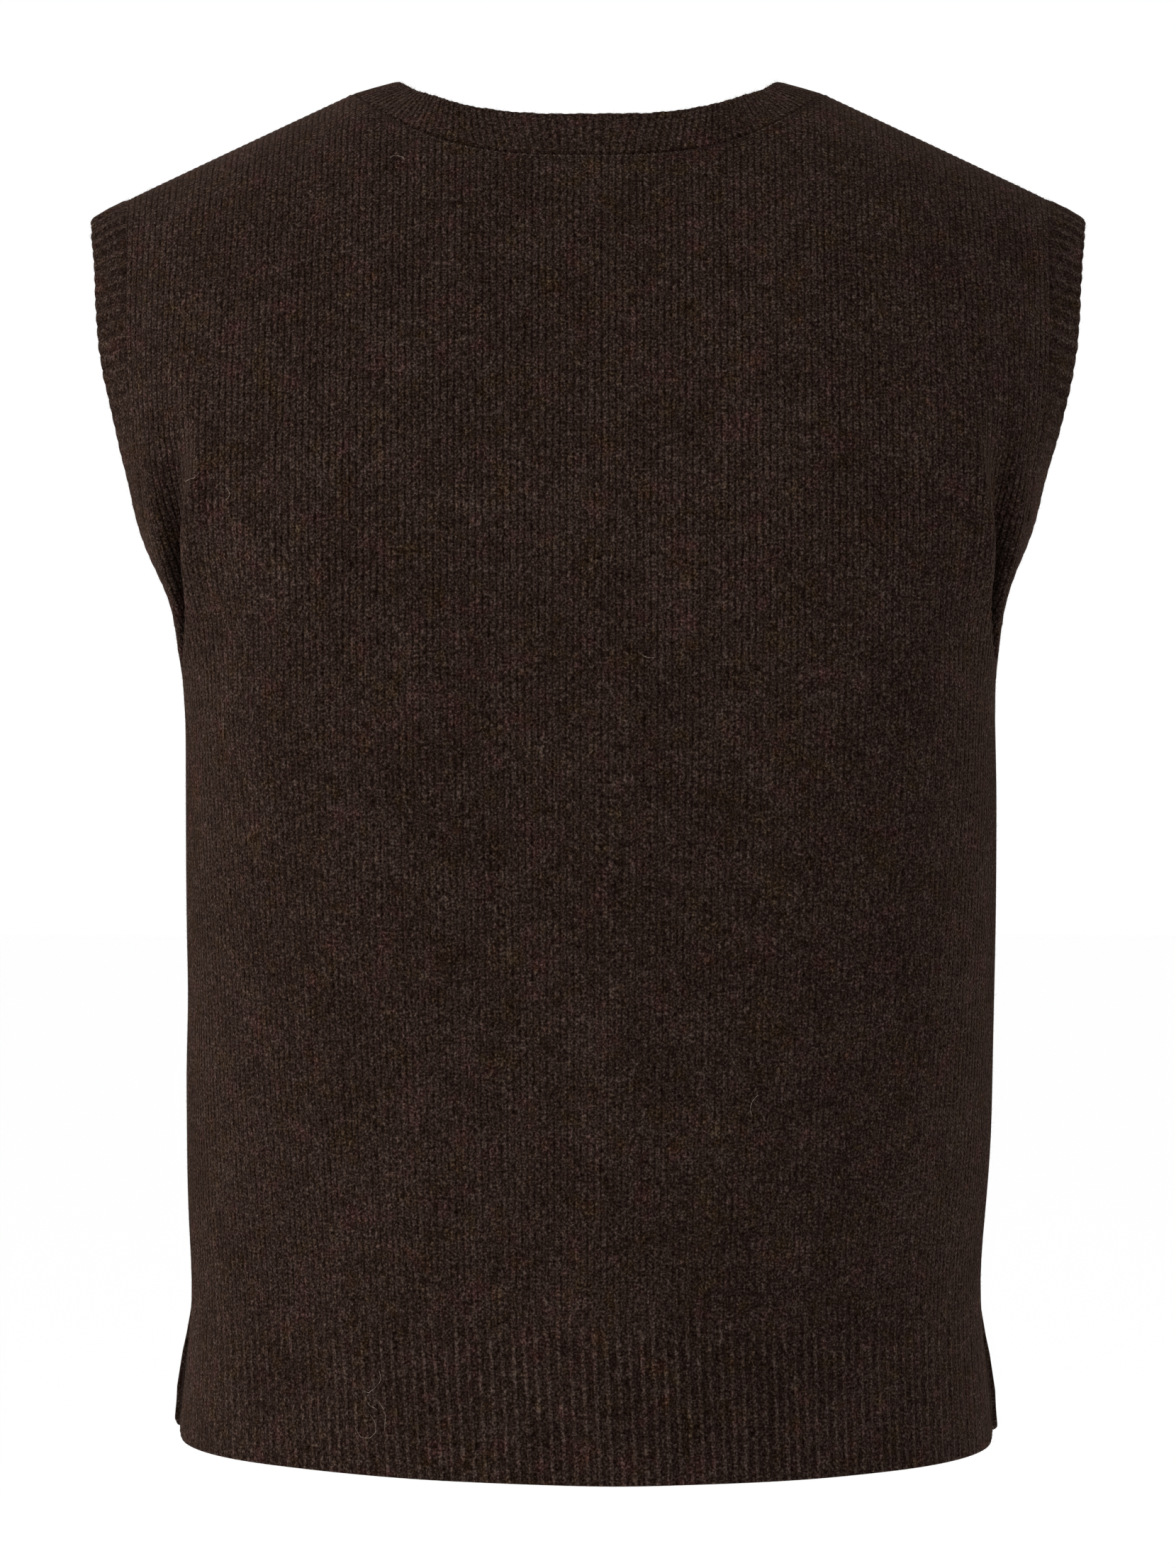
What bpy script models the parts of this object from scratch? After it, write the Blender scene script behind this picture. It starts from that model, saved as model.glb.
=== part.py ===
"""Knitted sweater vest, hollow and filled out as if it were worn.

The front faces -Y, the back +Y and up is +Z, in metres.  The origin is midway between the two
high shoulder points, where the neckband meets the shoulder seams and the vest hangs.

Each panel is knitted cloth with its hem rib in one.  A place on it is given by two numbers:
u runs across (0 in the middle, 1 at the edge) and c counts courses (-1 at the hem, 0 at the
armpit, 1 on the shoulder ridge).
"""
import math
from dataclasses import dataclass

import bpy
import numpy as np

MM = 0.001
QUARTER_TURN = math.pi / 2

# Overall sizes of the vest
HIGH_SHOULDER_X = 101 * MM      # middle to a high shoulder point
SHOULDER_FALL = 0.466           # drop of the shoulder line for each unit outward
NAPE_DROP = 32.6 * MM           # how far the neck seam dips at the back, and at the front
THROAT_DROP = 92 * MM
NAPE_FLATNESS = 2.5             # power of the dip's curve at the back
ARMHOLE_SCOOP = 5 * MM          # extra cut into the front armholes
ARMPIT_Z = -262 * MM            # top of the side seams
RIB_TOP_Z = -512 * MM           # where the hem rib and the side vents start
HEM_Z = -576 * MM
HEM_SIDE_RISE = 3 * MM          # the hem curves up toward the vents
HEM_LEFT_LIFT = 2 * MM          # and hangs a little higher on the wearer's left,
LIFT_MIDDLE_X = 50 * MM         # the lift coming in around this distance from the middle
LIFT_BLEND = 40 * MM
HEM_CORNER_RISE = 3 * MM        # and its corners are rounded off,
HEM_CORNER_START = 0.9          # from this share of the half width outward
VENT_GAPE = 5 * MM              # how far each vent edge stands back from the side line at the hem

# Cloth and joins
WALL = 1.8 * MM
RIB_RISE = 0.9 * MM
RIB_START = 14 * MM             # the ribs begin this far below the last plain course
SEAM_GAP = 0.35 * MM            # between the two panels
BAND_GAP = 0.45 * MM            # between a panel's edge and its band
HEM_RIBS = 104                  # on each panel
NECK_RIBS = 204
ARM_RIBS = 80                   # on each armhole band
NECKBAND_WIDTH = 20 * MM
NAPE_STAND = math.radians(11)   # the neckband tips out from the cloth's line at the nape
SHOULDER_STAND = math.radians(-7)
BAND_TURN = 0.5                 # share of a band's width over which its wall tips
NAPE_FACING = 0.5               # how far the cloth faces up at the nape, and on the shoulder
SHOULDER_FACING = 0.78
NECKBAND_CURL = 0.6 * MM        # how far a band's free edge bends in
ARMBAND_CURL = 1.2 * MM
ARMBAND_WIDTH = 17 * MM

JERSEY_COLOUR = (0.026, 0.016, 0.013)
RIB_COLOUR = (0.030, 0.018, 0.014)

# Level rings of the body, in mm
BODY_RINGS = (
    # height, half width at back, at front, depth at back, at front, squareness
    (-576, 170.0, 174.8, 112.5, 118.0, 2.15),
    (-545, 168.4, 172.0, 111.0, 116.5, 2.18),
    (-512, 166.6, 166.6, 110.0, 115.0, 2.22),
    (-476, 168.0, 168.0, 110.5, 115.5, 2.28),
    (-440, 169.7, 169.7, 111.5, 116.5, 2.36),
    (-403, 170.4, 170.4, 112.5, 117.5, 2.46),
    (-350, 171.2, 171.2, 113.0, 118.5, 2.66),
    (-300, 171.1, 171.1, 113.0, 117.5, 2.92),
    (-262, 170.7, 170.7, 113.0, 117.3, 3.15),
)

# Armhole seam: how far out it lies at each share of the way from armpit to shoulder, in mm
ARMHOLE_EDGE = (
    # share of the height, distance out, squareness of the yoke there
    (0.00, 170.7, 3.15),
    (0.10, 168.9, 3.30),
    (0.19, 171.2, 3.42),
    (0.27, 177.7, 3.46),
    (0.35, 182.5, 3.42),
    (0.44, 185.0, 3.30),
    (0.52, 187.9, 3.15),
    (0.61, 190.6, 2.98),
    (0.69, 192.8, 2.85),
    (0.79, 194.0, 2.72),
    (0.90, 194.9, 2.62),
    (1.00, 197.0, 2.58),
)
ARMHOLE_REACH = 0.58            # share of the yoke's depth that the armhole takes
ARMHOLE_ROUND = 0.75            # height share above which that depth share stays the same
STEEP_SHARE = 0.6               # height share above which the yoke leans in strongly

# Folds in the cloth: ridges, or troughs where the rise is negative, along straight lines, in mm
BACK_FOLDS = (
    # rise, from x, from z, to x, to z, spread
    (3.0, 163, -125, 167, -250, 9),         # where the back turns in under each arm
    (3.2, -163, -130, -167, -250, 9),
    (1.5, 184, -150, 184, -215, 14),
    (-1.5, 171, -250, 171, -400, 40),       # the body leans a little to the wearer's right
    (1.2, -171, -270, -171, -470, 40),
    (1.6, 140, -250, 70, -380, 26),         # drag from the armpits
    (1.4, -142, -240, -85, -350, 24),
    (1.6, 62, -400, 70, -590, 24),          # long soft waves down to the hem
    (-1.5, 18, -330, 10, -590, 26),
    (1.8, -48, -380, -55, -590, 28),
    (-1.3, -110, -420, -116, -590, 22),
    (-1.2, 118, -440, 122, -590, 20),
    (-1.4, 2, -90, 4, -250, 34),            # hollow between the shoulder blades
)
FRONT_FOLDS = (
    (2.6, 162, -140, 166, -250, 9),
    (2.4, -162, -135, -166, -250, 9),
    (-1.5, 171, -250, 171, -400, 40),
    (1.2, -171, -270, -171, -470, 40),
    (2.0, -140, -240, -78, -370, 26),
    (2.1, 140, -248, 82, -390, 26),
    (1.7, -58, -390, -66, -590, 25),
    (-1.4, -8, -340, 0, -590, 27),
    (1.5, 52, -400, 60, -590, 26),
    (-1.2, 112, -430, 118, -590, 20),
    (-1.3, -116, -450, -120, -590, 22),
)

FOLD_ENDS = 3                   # the fade at each end of a fold covers 1 / FOLD_ENDS of its length

# Mesh resolution of the plain knit
FORM_COURSES = 160
FORM_WALES = 120
COLUMNS = 12                    # on each half of a panel
COLUMN_CROWDING = 1.25          # above 1, columns lie closer together toward the edge
YOKE_STEP = 0.05
SEAM_SAMPLES = 61               # of the neck seam's line, from which the neck rows are placed
BEND_WEIGHT = 60 * MM           # a radian of bend takes as many neck rows as this much seam
BODY_STRIPS = 5
SEAM_POINT_CLEAR = 0.2          # share of a column that a rib column keeps from a seam point
NECKBAND_COLUMNS = 60           # on the plain inside of a band
ARMBAND_COLUMNS = 48


def spline(xs, ys):
    """A natural cubic spline through the points, as a function."""
    xs = np.asarray(xs, float)
    ys = np.asarray(ys, float)
    gaps = np.diff(xs)
    last = len(xs) - 1
    matrix = np.eye(last + 1)
    right = np.zeros(last + 1)
    for i in range(1, last):
        matrix[i, i - 1:i + 2] = gaps[i - 1], 2 * (gaps[i - 1] + gaps[i]), gaps[i]
        right[i] = 6 * ((ys[i + 1] - ys[i]) / gaps[i] - (ys[i] - ys[i - 1]) / gaps[i - 1])
    bend = np.linalg.solve(matrix, right)

    def at(x):
        x = np.clip(x, xs[0], xs[-1])
        i = np.clip(np.searchsorted(xs, x) - 1, 0, last - 1)
        a = (xs[i + 1] - x) / gaps[i]
        b = 1 - a
        curved = (a**3 - a) * bend[i] + (b**3 - b) * bend[i + 1]
        return a * ys[i] + b * ys[i + 1] + curved * gaps[i]**2 / 6
    return at


ring_z, ring_back, ring_front, ring_back_depth, ring_front_depth, ring_square = np.array(BODY_RINGS).T
edge_share, edge_out, edge_square = np.array(ARMHOLE_EDGE).T
ring_squareness = spline(ring_z * MM, ring_square)
armhole_out = spline(edge_share, edge_out * MM)
yoke_squareness = spline(edge_share, edge_square)


@dataclass(frozen=True)
class Panel:
    """One of the two body panels."""
    name: str
    sign: int                   # +1 for the back, -1 for the front
    half_width: object          # of the level ring at a height
    depth: object
    neck_drop: float
    armhole_scoop: float        # how much deeper the armhole is cut on this side
    neck_rows: int
    folds: tuple


BACK = Panel("back_panel", 1, spline(ring_z * MM, ring_back * MM),
             spline(ring_z * MM, ring_back_depth * MM), NAPE_DROP, 0.0, 9, BACK_FOLDS)
FRONT = Panel("front_panel", -1, spline(ring_z * MM, ring_front * MM),
              spline(ring_z * MM, ring_front_depth * MM), THROAT_DROP, ARMHOLE_SCOOP, 13,
              FRONT_FOLDS)


def shoulder_ridge(x):
    """Height of the shoulder line; inside the neck it levels out, where nothing is knitted."""
    x = np.abs(x)
    level = SHOULDER_FALL * HIGH_SHOULDER_X / 5
    inside = level * (1 - (x / HIGH_SHOULDER_X)**5)
    return np.where(x < HIGH_SHOULDER_X, inside, -SHOULDER_FALL * (x - HIGH_SHOULDER_X))


def armhole_share(share):
    """Depth share that the armhole takes at a height share, rounded toward the armpit."""
    near = 1 - np.minimum(share / ARMHOLE_ROUND, 1)
    return ARMHOLE_REACH * np.sqrt(np.maximum(1 - near**2, 0))


def yoke_half_width(panel, share, power):
    """Half width of the whole oval that a yoke course is cut from."""
    out = armhole_out(share) - panel.armhole_scoop * np.sin(np.pi * np.clip(share, 0, 1))
    return out / (1 - armhole_share(share)**power)**(1 / power)


def fullness(panel, x, y, z):
    """Zero on the panel's surface and positive outside it; x and y are distances."""
    share = (z - ARMPIT_Z) / (shoulder_ridge(x) - ARMPIT_Z)
    above = np.maximum(share, 0)
    power = np.where(share > 0, yoke_squareness(above), ring_squareness(z))
    half = np.where(share > 0, yoke_half_width(panel, above, power), panel.half_width(z))
    across = (x / half)**power
    lean = 1 - above**2
    depth = panel.depth(np.minimum(z, ARMPIT_Z))
    low = across + (np.abs(y) / (depth * np.sqrt(np.maximum(lean, 1e-9))))**power - 1
    high = (y / depth)**2 - np.maximum(1 - across, 0)**(2 / power) * lean
    return low, high


def surface_normals(panel, points):
    """Outward directions at points of the first quadrant."""
    x, y, z = points.T
    nudge = 0.01 * MM
    slopes = []
    for axis in range(3):
        step = np.eye(3)[axis] * nudge
        here = fullness(panel, np.abs(x + step[0]), y + step[1], z + step[2])
        back = fullness(panel, np.abs(x - step[0]), y - step[1], z - step[2])
        slopes.append((here[0] - back[0], here[1] - back[1]))
    low = np.array([slope[0] for slope in slopes]).T
    high = np.array([slope[1] for slope in slopes]).T
    share = (z - ARMPIT_Z) / (shoulder_ridge(x) - ARMPIT_Z)
    normal = np.where((share > STEEP_SHARE)[:, None], high, low)
    return normal / np.linalg.norm(normal, axis=1)[:, None]


def course_line(panel, c):
    """Finely spaced points of one course, from the middle to the edge."""
    if c <= 0:
        z = ARMPIT_Z + c * (ARMPIT_Z - HEM_Z)
        power = float(ring_squareness(z))
        half = float(panel.half_width(z))
        depth = float(panel.depth(z))
        below_rib_top = max((RIB_TOP_Z - z) / (RIB_TOP_Z - HEM_Z), 0)
        reach = VENT_GAPE * below_rib_top / depth
        share = 0.0
        lean = 1.0
    else:
        turn = QUARTER_TURN * c * c
        share = math.sin(turn)
        lean = math.cos(turn)
        power = float(yoke_squareness(share))
        half = float(yoke_half_width(panel, share, power))
        depth = float(panel.depth(ARMPIT_Z))
        reach = float(armhole_share(share))
    end = math.acos(reach**(power / 2))
    angle = np.linspace(0, end, 2001)
    x = half * np.sin(angle)**(2 / power)
    y = depth * np.maximum(np.cos(angle), 0)**(2 / power) * lean
    if c <= 0:
        z = np.full_like(x, z)
    else:
        z = ARMPIT_Z + share * (shoulder_ridge(x) - ARMPIT_Z)
    return np.stack([x, y, z], axis=1)


def line_lengths(points):
    steps = np.linalg.norm(np.diff(points, axis=0), axis=1)
    return np.concatenate([[0], np.cumsum(steps)])


class Form:
    """The panel's middle surface, tabulated over courses and wales for one half."""

    def __init__(self, panel):
        self.panel = panel
        body = np.linspace(-1, 0, FORM_COURSES // 4, endpoint=False)
        self.courses = np.concatenate([body, np.linspace(0, 1, FORM_COURSES)])
        self.u = np.linspace(0, 1, FORM_WALES)
        armpit_length = line_lengths(course_line(panel, 0))[-1]
        rows = []
        normals = []
        for c in self.courses:
            line = course_line(panel, c)
            lengths = line_lengths(line)
            along = self.u * lengths[-1]
            if c > 0:
                along = self.u * armpit_length - (armpit_length - lengths[-1]) * self.u**4
            row = np.stack([np.interp(along, lengths, line[:, k]) for k in range(3)], axis=1)
            rows.append(row)
            normals.append(surface_normals(panel, row))
        self.points = np.array(rows)
        self.normals = np.array(normals)

    def sample(self, u, c):
        """Points and outward directions at signed u and c; u > 0 is to the right from outside."""
        u, c = np.broadcast_arrays(np.asarray(u, float), np.asarray(c, float))
        row = np.clip(np.searchsorted(self.courses, c) - 1, 0, len(self.courses) - 2)
        rise = (c - self.courses[row]) / (self.courses[row + 1] - self.courses[row])
        place = np.abs(u) * (FORM_WALES - 1)
        column = np.clip(place.astype(int), 0, FORM_WALES - 2)
        run = place - column
        run = run[..., None]
        rise = rise[..., None]
        side = np.where(u < 0, -1.0, 1.0) * -self.panel.sign
        flip = np.stack([side, np.full_like(side, self.panel.sign), np.ones_like(side)], axis=-1)
        result = []
        for table in (self.points, self.normals):
            low = table[row, column] * (1 - run) + table[row, column + 1] * run
            high = table[row + 1, column] * (1 - run) + table[row + 1, column + 1] * run
            result.append((low * (1 - rise) + high * rise) * flip)
        points, normals = result
        normals = normals / np.linalg.norm(normals, axis=-1)[..., None]
        return points, normals

    def u_at_x(self, x, c):
        """The wale that lies at distance x from the middle on course c."""
        points, _ = self.sample(self.u, np.full_like(self.u, c))
        return float(np.interp(x, np.abs(points[:, 0]), self.u))


def drape(points, panel):
    """Soft folds, as a rise or fall along the cloth's outward direction."""
    x = points[..., 0] / MM
    z = points[..., 2] / MM
    total = np.zeros_like(x)
    for rise, x0, z0, x1, z1, spread in panel.folds:
        length = math.hypot(x1 - x0, z1 - z0)
        run_x = (x1 - x0) / length
        run_z = (z1 - z0) / length
        along = ((x - x0) * run_x + (z - z0) * run_z) / length
        off = (x - x0) * -run_z + (z - z0) * run_x
        ends = (np.clip(along * FOLD_ENDS + 0.5, 0, 1)
                * np.clip((1 - along) * FOLD_ENDS + 0.5, 0, 1))
        total += rise * np.exp(-(off / spread)**2) * ends * ends * (3 - 2 * ends)
    return total * MM


def neck_seam(form, tau):
    """u and c of the neck seam, from the middle (tau 0) to the high shoulder point (1)."""
    panel = form.panel
    x = HIGH_SHOULDER_X * math.sin(QUARTER_TURN * tau)
    if panel.sign > 0:
        z = -panel.neck_drop * (1 - (x / HIGH_SHOULDER_X)**NAPE_FLATNESS)
    else:
        z = -panel.neck_drop * math.cos(QUARTER_TURN * tau)
    share = (z - ARMPIT_Z) / (float(shoulder_ridge(x)) - ARMPIT_Z)
    c = math.sqrt(math.asin(min(share, 1.0)) / QUARTER_TURN)
    return form.u_at_x(x, c), c


def neck_rows(form):
    """Points of the neck seam from its middle to the high shoulder point, closer at bends."""
    seam = np.array([neck_seam(form, tau) for tau in np.linspace(0, 1, SEAM_SAMPLES)])
    points, _ = form.sample(seam[:, 0], seam[:, 1])
    lengths = line_lengths(points)
    ways = np.diff(points, axis=0) / np.diff(lengths)[:, None]
    bends = np.linalg.norm(np.diff(ways, axis=0), axis=1)
    turned = np.concatenate([[0], np.cumsum(bends), [np.sum(bends)]])
    measure = lengths + BEND_WEIGHT * turned
    steps = np.linspace(0, measure[-1], form.panel.neck_rows + 1)
    return [(float(np.interp(s, measure, seam[:, 0])), float(np.interp(s, measure, seam[:, 1])))
            for s in steps]


def stitch(faces, low, high):
    """Faces between two lines of (place, vertex); low is used forward, high backward."""
    i = j = 0
    while i < len(low) - 1 or j < len(high) - 1:
        can_low = i < len(low) - 1
        can_high = j < len(high) - 1
        if can_low and can_high and abs(low[i + 1][0] - high[j + 1][0]) < 1e-6:
            faces.append((low[i][1], low[i + 1][1], high[j + 1][1], high[j][1]))
            i += 1
            j += 1
        elif not can_high or (can_low and low[i + 1][0] < high[j + 1][0]):
            faces.append((low[i][1], low[i + 1][1], high[j][1]))
            i += 1
        else:
            faces.append((low[i][1], high[j + 1][1], high[j][1]))
            j += 1


class Cloth:
    """Vertices and faces of one knitted piece as it is worked out."""

    def __init__(self):
        self.vertices = []
        self.faces = []

    def add(self, point):
        self.vertices.append(tuple(float(value) for value in point))
        return len(self.vertices) - 1

    def make(self, name, collection, colour):
        mesh = bpy.data.meshes.new(name)
        mesh.from_pydata(self.vertices, [], self.faces)
        mesh.update()
        vest_piece = bpy.data.objects.new(name, mesh)
        collection.objects.link(vest_piece)
        mesh.materials.append(knit_material(name + "_knit", colour))
        return vest_piece


def cloth_point(form, u, c, out):
    """A point of the panel, raised by out from its middle surface and kept off the seams."""
    point, normal = form.sample(u, c)
    point = point + normal * (out + drape(point, form.panel))[..., None]
    if c <= 0:
        below_rib_top = max((RIB_TOP_Z - point[2]) / (RIB_TOP_Z - HEM_Z), 0)
        corner = max((abs(u) - HEM_CORNER_START) / (1 - HEM_CORNER_START), 0)
        left = (1 + math.tanh((point[0] - LIFT_MIDDLE_X) / LIFT_BLEND)) / 2
        rise = HEM_SIDE_RISE * u**2 + HEM_LEFT_LIFT * left
        point[2] += rise * below_rib_top + HEM_CORNER_RISE * corner**2 * below_rib_top**3
    clear = SEAM_GAP / 2
    point[1] = form.panel.sign * max(form.panel.sign * point[1], clear)
    return point


def make_panel(form, collection):
    """A body panel with its hem rib, and the lines of its neck and armhole edges."""
    cloth = Cloth()
    panel = form.panel
    half_wall = WALL / 2
    rib_top = (RIB_TOP_Z - ARMPIT_Z) / (ARMPIT_Z - HEM_Z)
    plain_end = (RIB_TOP_Z + RIB_START - ARMPIT_Z) / (ARMPIT_Z - HEM_Z)
    shares = [1 - (1 - k / COLUMNS)**COLUMN_CROWDING for k in range(COLUMNS + 1)]
    neck = neck_rows(form)
    split = neck[0][1]
    yoke = list(np.arange(YOKE_STEP, split - YOKE_STEP / 2, YOKE_STEP))
    courses = [(0.0, c) for c in [-1.0, rib_top]]
    courses += [(0.0, float(c)) for c in np.linspace(plain_end, 0, BODY_STRIPS + 1)]
    courses += [(0.0, float(c)) for c in yoke]
    neck_start = len(courses)
    courses += neck

    def grid(out):
        """Vertices of one skin, keyed by course, side and column; both sides share the middle."""
        keys = {}
        for row, (start, c) in enumerate(courses):
            for side in (-1, 1):
                for column, share in enumerate(shares):
                    shared = column == 0 and row <= neck_start
                    key = (row, 0 if shared else side, column)
                    if key not in keys:
                        u = side * (start + (1 - start) * share)
                        keys[key] = cloth.add(cloth_point(form, u, c, out))
        return keys

    def key(row, side, column):
        return (row, 0 if column == 0 and row <= neck_start else side, column)

    outer = grid(half_wall)
    inner = grid(-half_wall)
    first_plain = 2
    armpit_row = first_plain + BODY_STRIPS
    for skin, start_row, flip in ((outer, first_plain, False), (inner, 0, True)):
        for row in range(start_row, len(courses) - 1):
            for side in (-1, 1):
                for column in range(COLUMNS):
                    corners = [skin[key(row, side, column)], skin[key(row, side, column + 1)],
                               skin[key(row + 1, side, column + 1)], skin[key(row + 1, side, column)]]
                    if (side < 0) != flip:
                        corners.reverse()
                    cloth.faces.append(tuple(corners))

    # Hem rib: raised and sunken lines on the outer skin only
    rib_rows = []
    for row in (0, 1):
        line = []
        for k in range(2 * HEM_RIBS + 1):
            u = -1 + k / HEM_RIBS
            if k == 0:
                vertex = outer[key(row, -1, COLUMNS)]
            elif k == 2 * HEM_RIBS:
                vertex = outer[key(row, 1, COLUMNS)]
            else:
                rise = half_wall + (RIB_RISE if k % 2 else 0)
                vertex = cloth.add(cloth_point(form, u, courses[row][1], rise))
            line.append((u, vertex))
        rib_rows.append(line)

    def whole_row(skin, row):
        left = [(-shares[k], skin[key(row, -1, k)]) for k in range(COLUMNS, 0, -1)]
        right = [(shares[k], skin[key(row, 1, k)]) for k in range(COLUMNS + 1)]
        return left + right

    stitch(cloth.faces, rib_rows[0], rib_rows[1])
    stitch(cloth.faces, rib_rows[1], whole_row(outer, first_plain))
    stitch(cloth.faces, whole_row(inner, 0), rib_rows[0])

    # The edge round the panel, from one hem corner up and over to the other
    top = len(courses) - 1
    path = [key(row, 1, COLUMNS) for row in range(top)]
    path += [key(top, 1, column) for column in range(COLUMNS, 0, -1)]
    path += [key(row, 1, 0) for row in range(top, neck_start, -1)]
    path += [key(row, -1, 0) for row in range(neck_start, top)]
    path += [key(top, -1, column) for column in range(COLUMNS)]
    path += [key(row, -1, COLUMNS) for row in range(top, -1, -1)]
    for here, there in zip(path, path[1:]):
        cloth.faces.append((outer[there], outer[here], inner[here], inner[there]))

    used = {vertex for face in cloth.faces for vertex in face}
    renumber = {old: new for new, old in enumerate(sorted(used))}
    places = [cloth.vertices[old] for old in sorted(used)]
    points = np.array(cloth.vertices)

    def middle(row, side, column):
        k = key(row, side, column)
        return (points[outer[k]] + points[inner[k]]) / 2, points[outer[k]] - points[inner[k]]

    edges = {
        "neck": [middle(row, -1, 0) for row in range(top, neck_start, -1)]
                + [middle(row, 1, 0) for row in range(neck_start, top + 1)],
        "left_arm": [middle(row, -panel.sign, COLUMNS) for row in range(armpit_row, top + 1)],
        "right_arm": [middle(row, panel.sign, COLUMNS) for row in range(armpit_row, top + 1)],
    }
    cloth.vertices = places
    cloth.faces = [tuple(renumber[vertex] for vertex in face) for face in cloth.faces]
    cloth.make(panel.name, collection, JERSEY_COLOUR)
    return edges


@dataclass(frozen=True)
class Band:
    """A ribbed band around an opening."""
    name: str
    width: float
    ribs: int
    plain_columns: int
    stand: object               # angle that tips it outward, for how far the cloth there faces up
    curl: float                 # how far its free edge bends in


def make_band(band, edge, collection):
    """Builds a band on a closed line of seam points, each with the direction across the wall."""
    cloth = Cloth()
    points = np.array([point for point, _ in edge])
    normals = np.array([wall / np.linalg.norm(wall) for _, wall in edge])
    # Away from the cloth along each stretch of the seam, and at each point between two stretches
    stretches = np.roll(points, -1, axis=0) - points
    square = np.cross(normals + np.roll(normals, -1, axis=0), stretches)
    square /= np.linalg.norm(square, axis=1)[:, None]
    onward = square + np.roll(square, 1, axis=0)
    onward /= np.linalg.norm(onward, axis=1)[:, None]
    mitre = 1 / np.einsum("ij,ij->i", onward, square)
    gap_line = points + onward * (mitre * BAND_GAP)[:, None]
    lengths = line_lengths(np.vstack([points, points[:1]]))

    def at(place, table):
        closed = np.vstack([table, table[:1]])
        return np.array([np.interp(place * lengths[-1], lengths, closed[:, k]) for k in range(3)])

    def band_point(place, across, out):
        normal = at(place, normals)
        normal /= np.linalg.norm(normal)
        away = at(place, onward)
        away -= normal * away.dot(normal)
        away /= np.linalg.norm(away)
        tip = band.stand(normal[2])
        lean = away * math.cos(tip) + normal * math.sin(tip)
        # The seam edge stays square to the cloth, so that the gap is the same through the wall
        turn = tip * min(across / BAND_TURN, 1)
        face = normal * math.cos(turn) - away * math.sin(turn)
        rise = face * (out - band.curl * across**2)
        return at(place, gap_line) + lean * across * band.width + rise

    stations = lengths[:-1] / lengths[-1]

    def ring(count, across, out, raised):
        """One line around the band, every second column raised, with a place at each seam point."""
        places = list(stations)
        for k in range(count):
            if np.min(np.abs(stations - k / count)) > SEAM_POINT_CLEAR / count:
                places.append(k / count)
        line = []
        for place in sorted(places):
            wave = 1 - abs(place * count % 2 - 1)
            line.append((place, cloth.add(band_point(place, across, out + raised * wave))))
        return line + [(1.0, line[0][1])]

    half_wall = WALL / 2
    outer = [ring(2 * band.ribs, across, half_wall, RIB_RISE) for across in (0, 0.5, 1)]
    inner = [ring(band.plain_columns, across, -half_wall, 0) for across in (0, 0.5, 1)]
    for low, high in zip(outer, outer[1:]):
        stitch(cloth.faces, low, high)
    for low, high in zip(inner, inner[1:]):
        stitch(cloth.faces, high, low)
    stitch(cloth.faces, inner[0], outer[0])
    stitch(cloth.faces, outer[-1], inner[-1])
    cloth.make(band.name, collection, RIB_COLOUR)


def neck_stand(facing_up):
    """The neckband stands up at the nape and the throat and lies down over the shoulders."""
    lie = np.clip((facing_up - NAPE_FACING) / (SHOULDER_FACING - NAPE_FACING), 0, 1)
    return NAPE_STAND + (SHOULDER_STAND - NAPE_STAND) * lie * lie * (3 - 2 * lie)


def arm_stand(facing_up):
    """The armhole bands just continue the cloth."""
    return 0.0


def knit_material(name, colour):
    material = bpy.data.materials.new(name)
    material.use_nodes = True
    shader = material.node_tree.nodes["Principled BSDF"]
    shader.inputs["Base Color"].default_value = (*colour, 1)
    shader.inputs["Roughness"].default_value = 0.95
    shader.inputs["Metallic"].default_value = 0.0
    return material


def main():
    for old in list(bpy.data.objects):
        bpy.data.objects.remove(old, do_unlink=True)
    collection = bpy.data.collections.new("sweater_vest")
    bpy.context.scene.collection.children.link(collection)

    back = make_panel(Form(BACK), collection)
    front = make_panel(Form(FRONT), collection)

    # Each loop runs to the right as seen from outside, with the opening on its upper side
    neck = back["neck"][:-1] + front["neck"][:-1]
    left_arm = back["left_arm"] + front["left_arm"][::-1]
    right_arm = front["right_arm"] + back["right_arm"][::-1]
    neckband = Band("neckband", NECKBAND_WIDTH, NECK_RIBS, NECKBAND_COLUMNS, neck_stand,
                    NECKBAND_CURL)
    make_band(neckband, neck, collection)
    for name, loop in (("armhole_band_left", left_arm), ("armhole_band_right", right_arm)):
        band = Band(name, ARMBAND_WIDTH, ARM_RIBS, ARMBAND_COLUMNS, arm_stand, ARMBAND_CURL)
        make_band(band, loop, collection)


main()
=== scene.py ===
"""Finish of a knitted sweater vest: its cloth, seams and nap, and a plain studio around it.

The cloth is worked out on the same form as the solids that it replaces.  A place on a body panel
is given by two numbers: g runs across and follows the wales (0 in the middle, 1 at the side), and
c counts courses (-1 at the hem, 0 at the armpit, 1 on the shoulder line).
"""

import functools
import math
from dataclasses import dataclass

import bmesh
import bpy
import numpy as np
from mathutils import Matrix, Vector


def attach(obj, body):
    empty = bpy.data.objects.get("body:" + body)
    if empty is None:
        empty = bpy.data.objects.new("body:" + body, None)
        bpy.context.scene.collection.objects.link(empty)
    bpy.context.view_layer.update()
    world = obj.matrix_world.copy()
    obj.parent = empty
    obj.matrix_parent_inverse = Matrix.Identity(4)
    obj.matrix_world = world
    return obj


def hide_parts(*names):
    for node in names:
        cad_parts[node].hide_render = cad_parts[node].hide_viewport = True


bl_info = {
    "name": "Sweater Vest Finish",
    "version": (1, 0, 0),
    "blender": (4, 5, 0),
    "location": "View3D > Sidebar > Vest",
    "description": "Knits the cloth of a sweater vest around its solids",
    "category": "Object",
}

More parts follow.
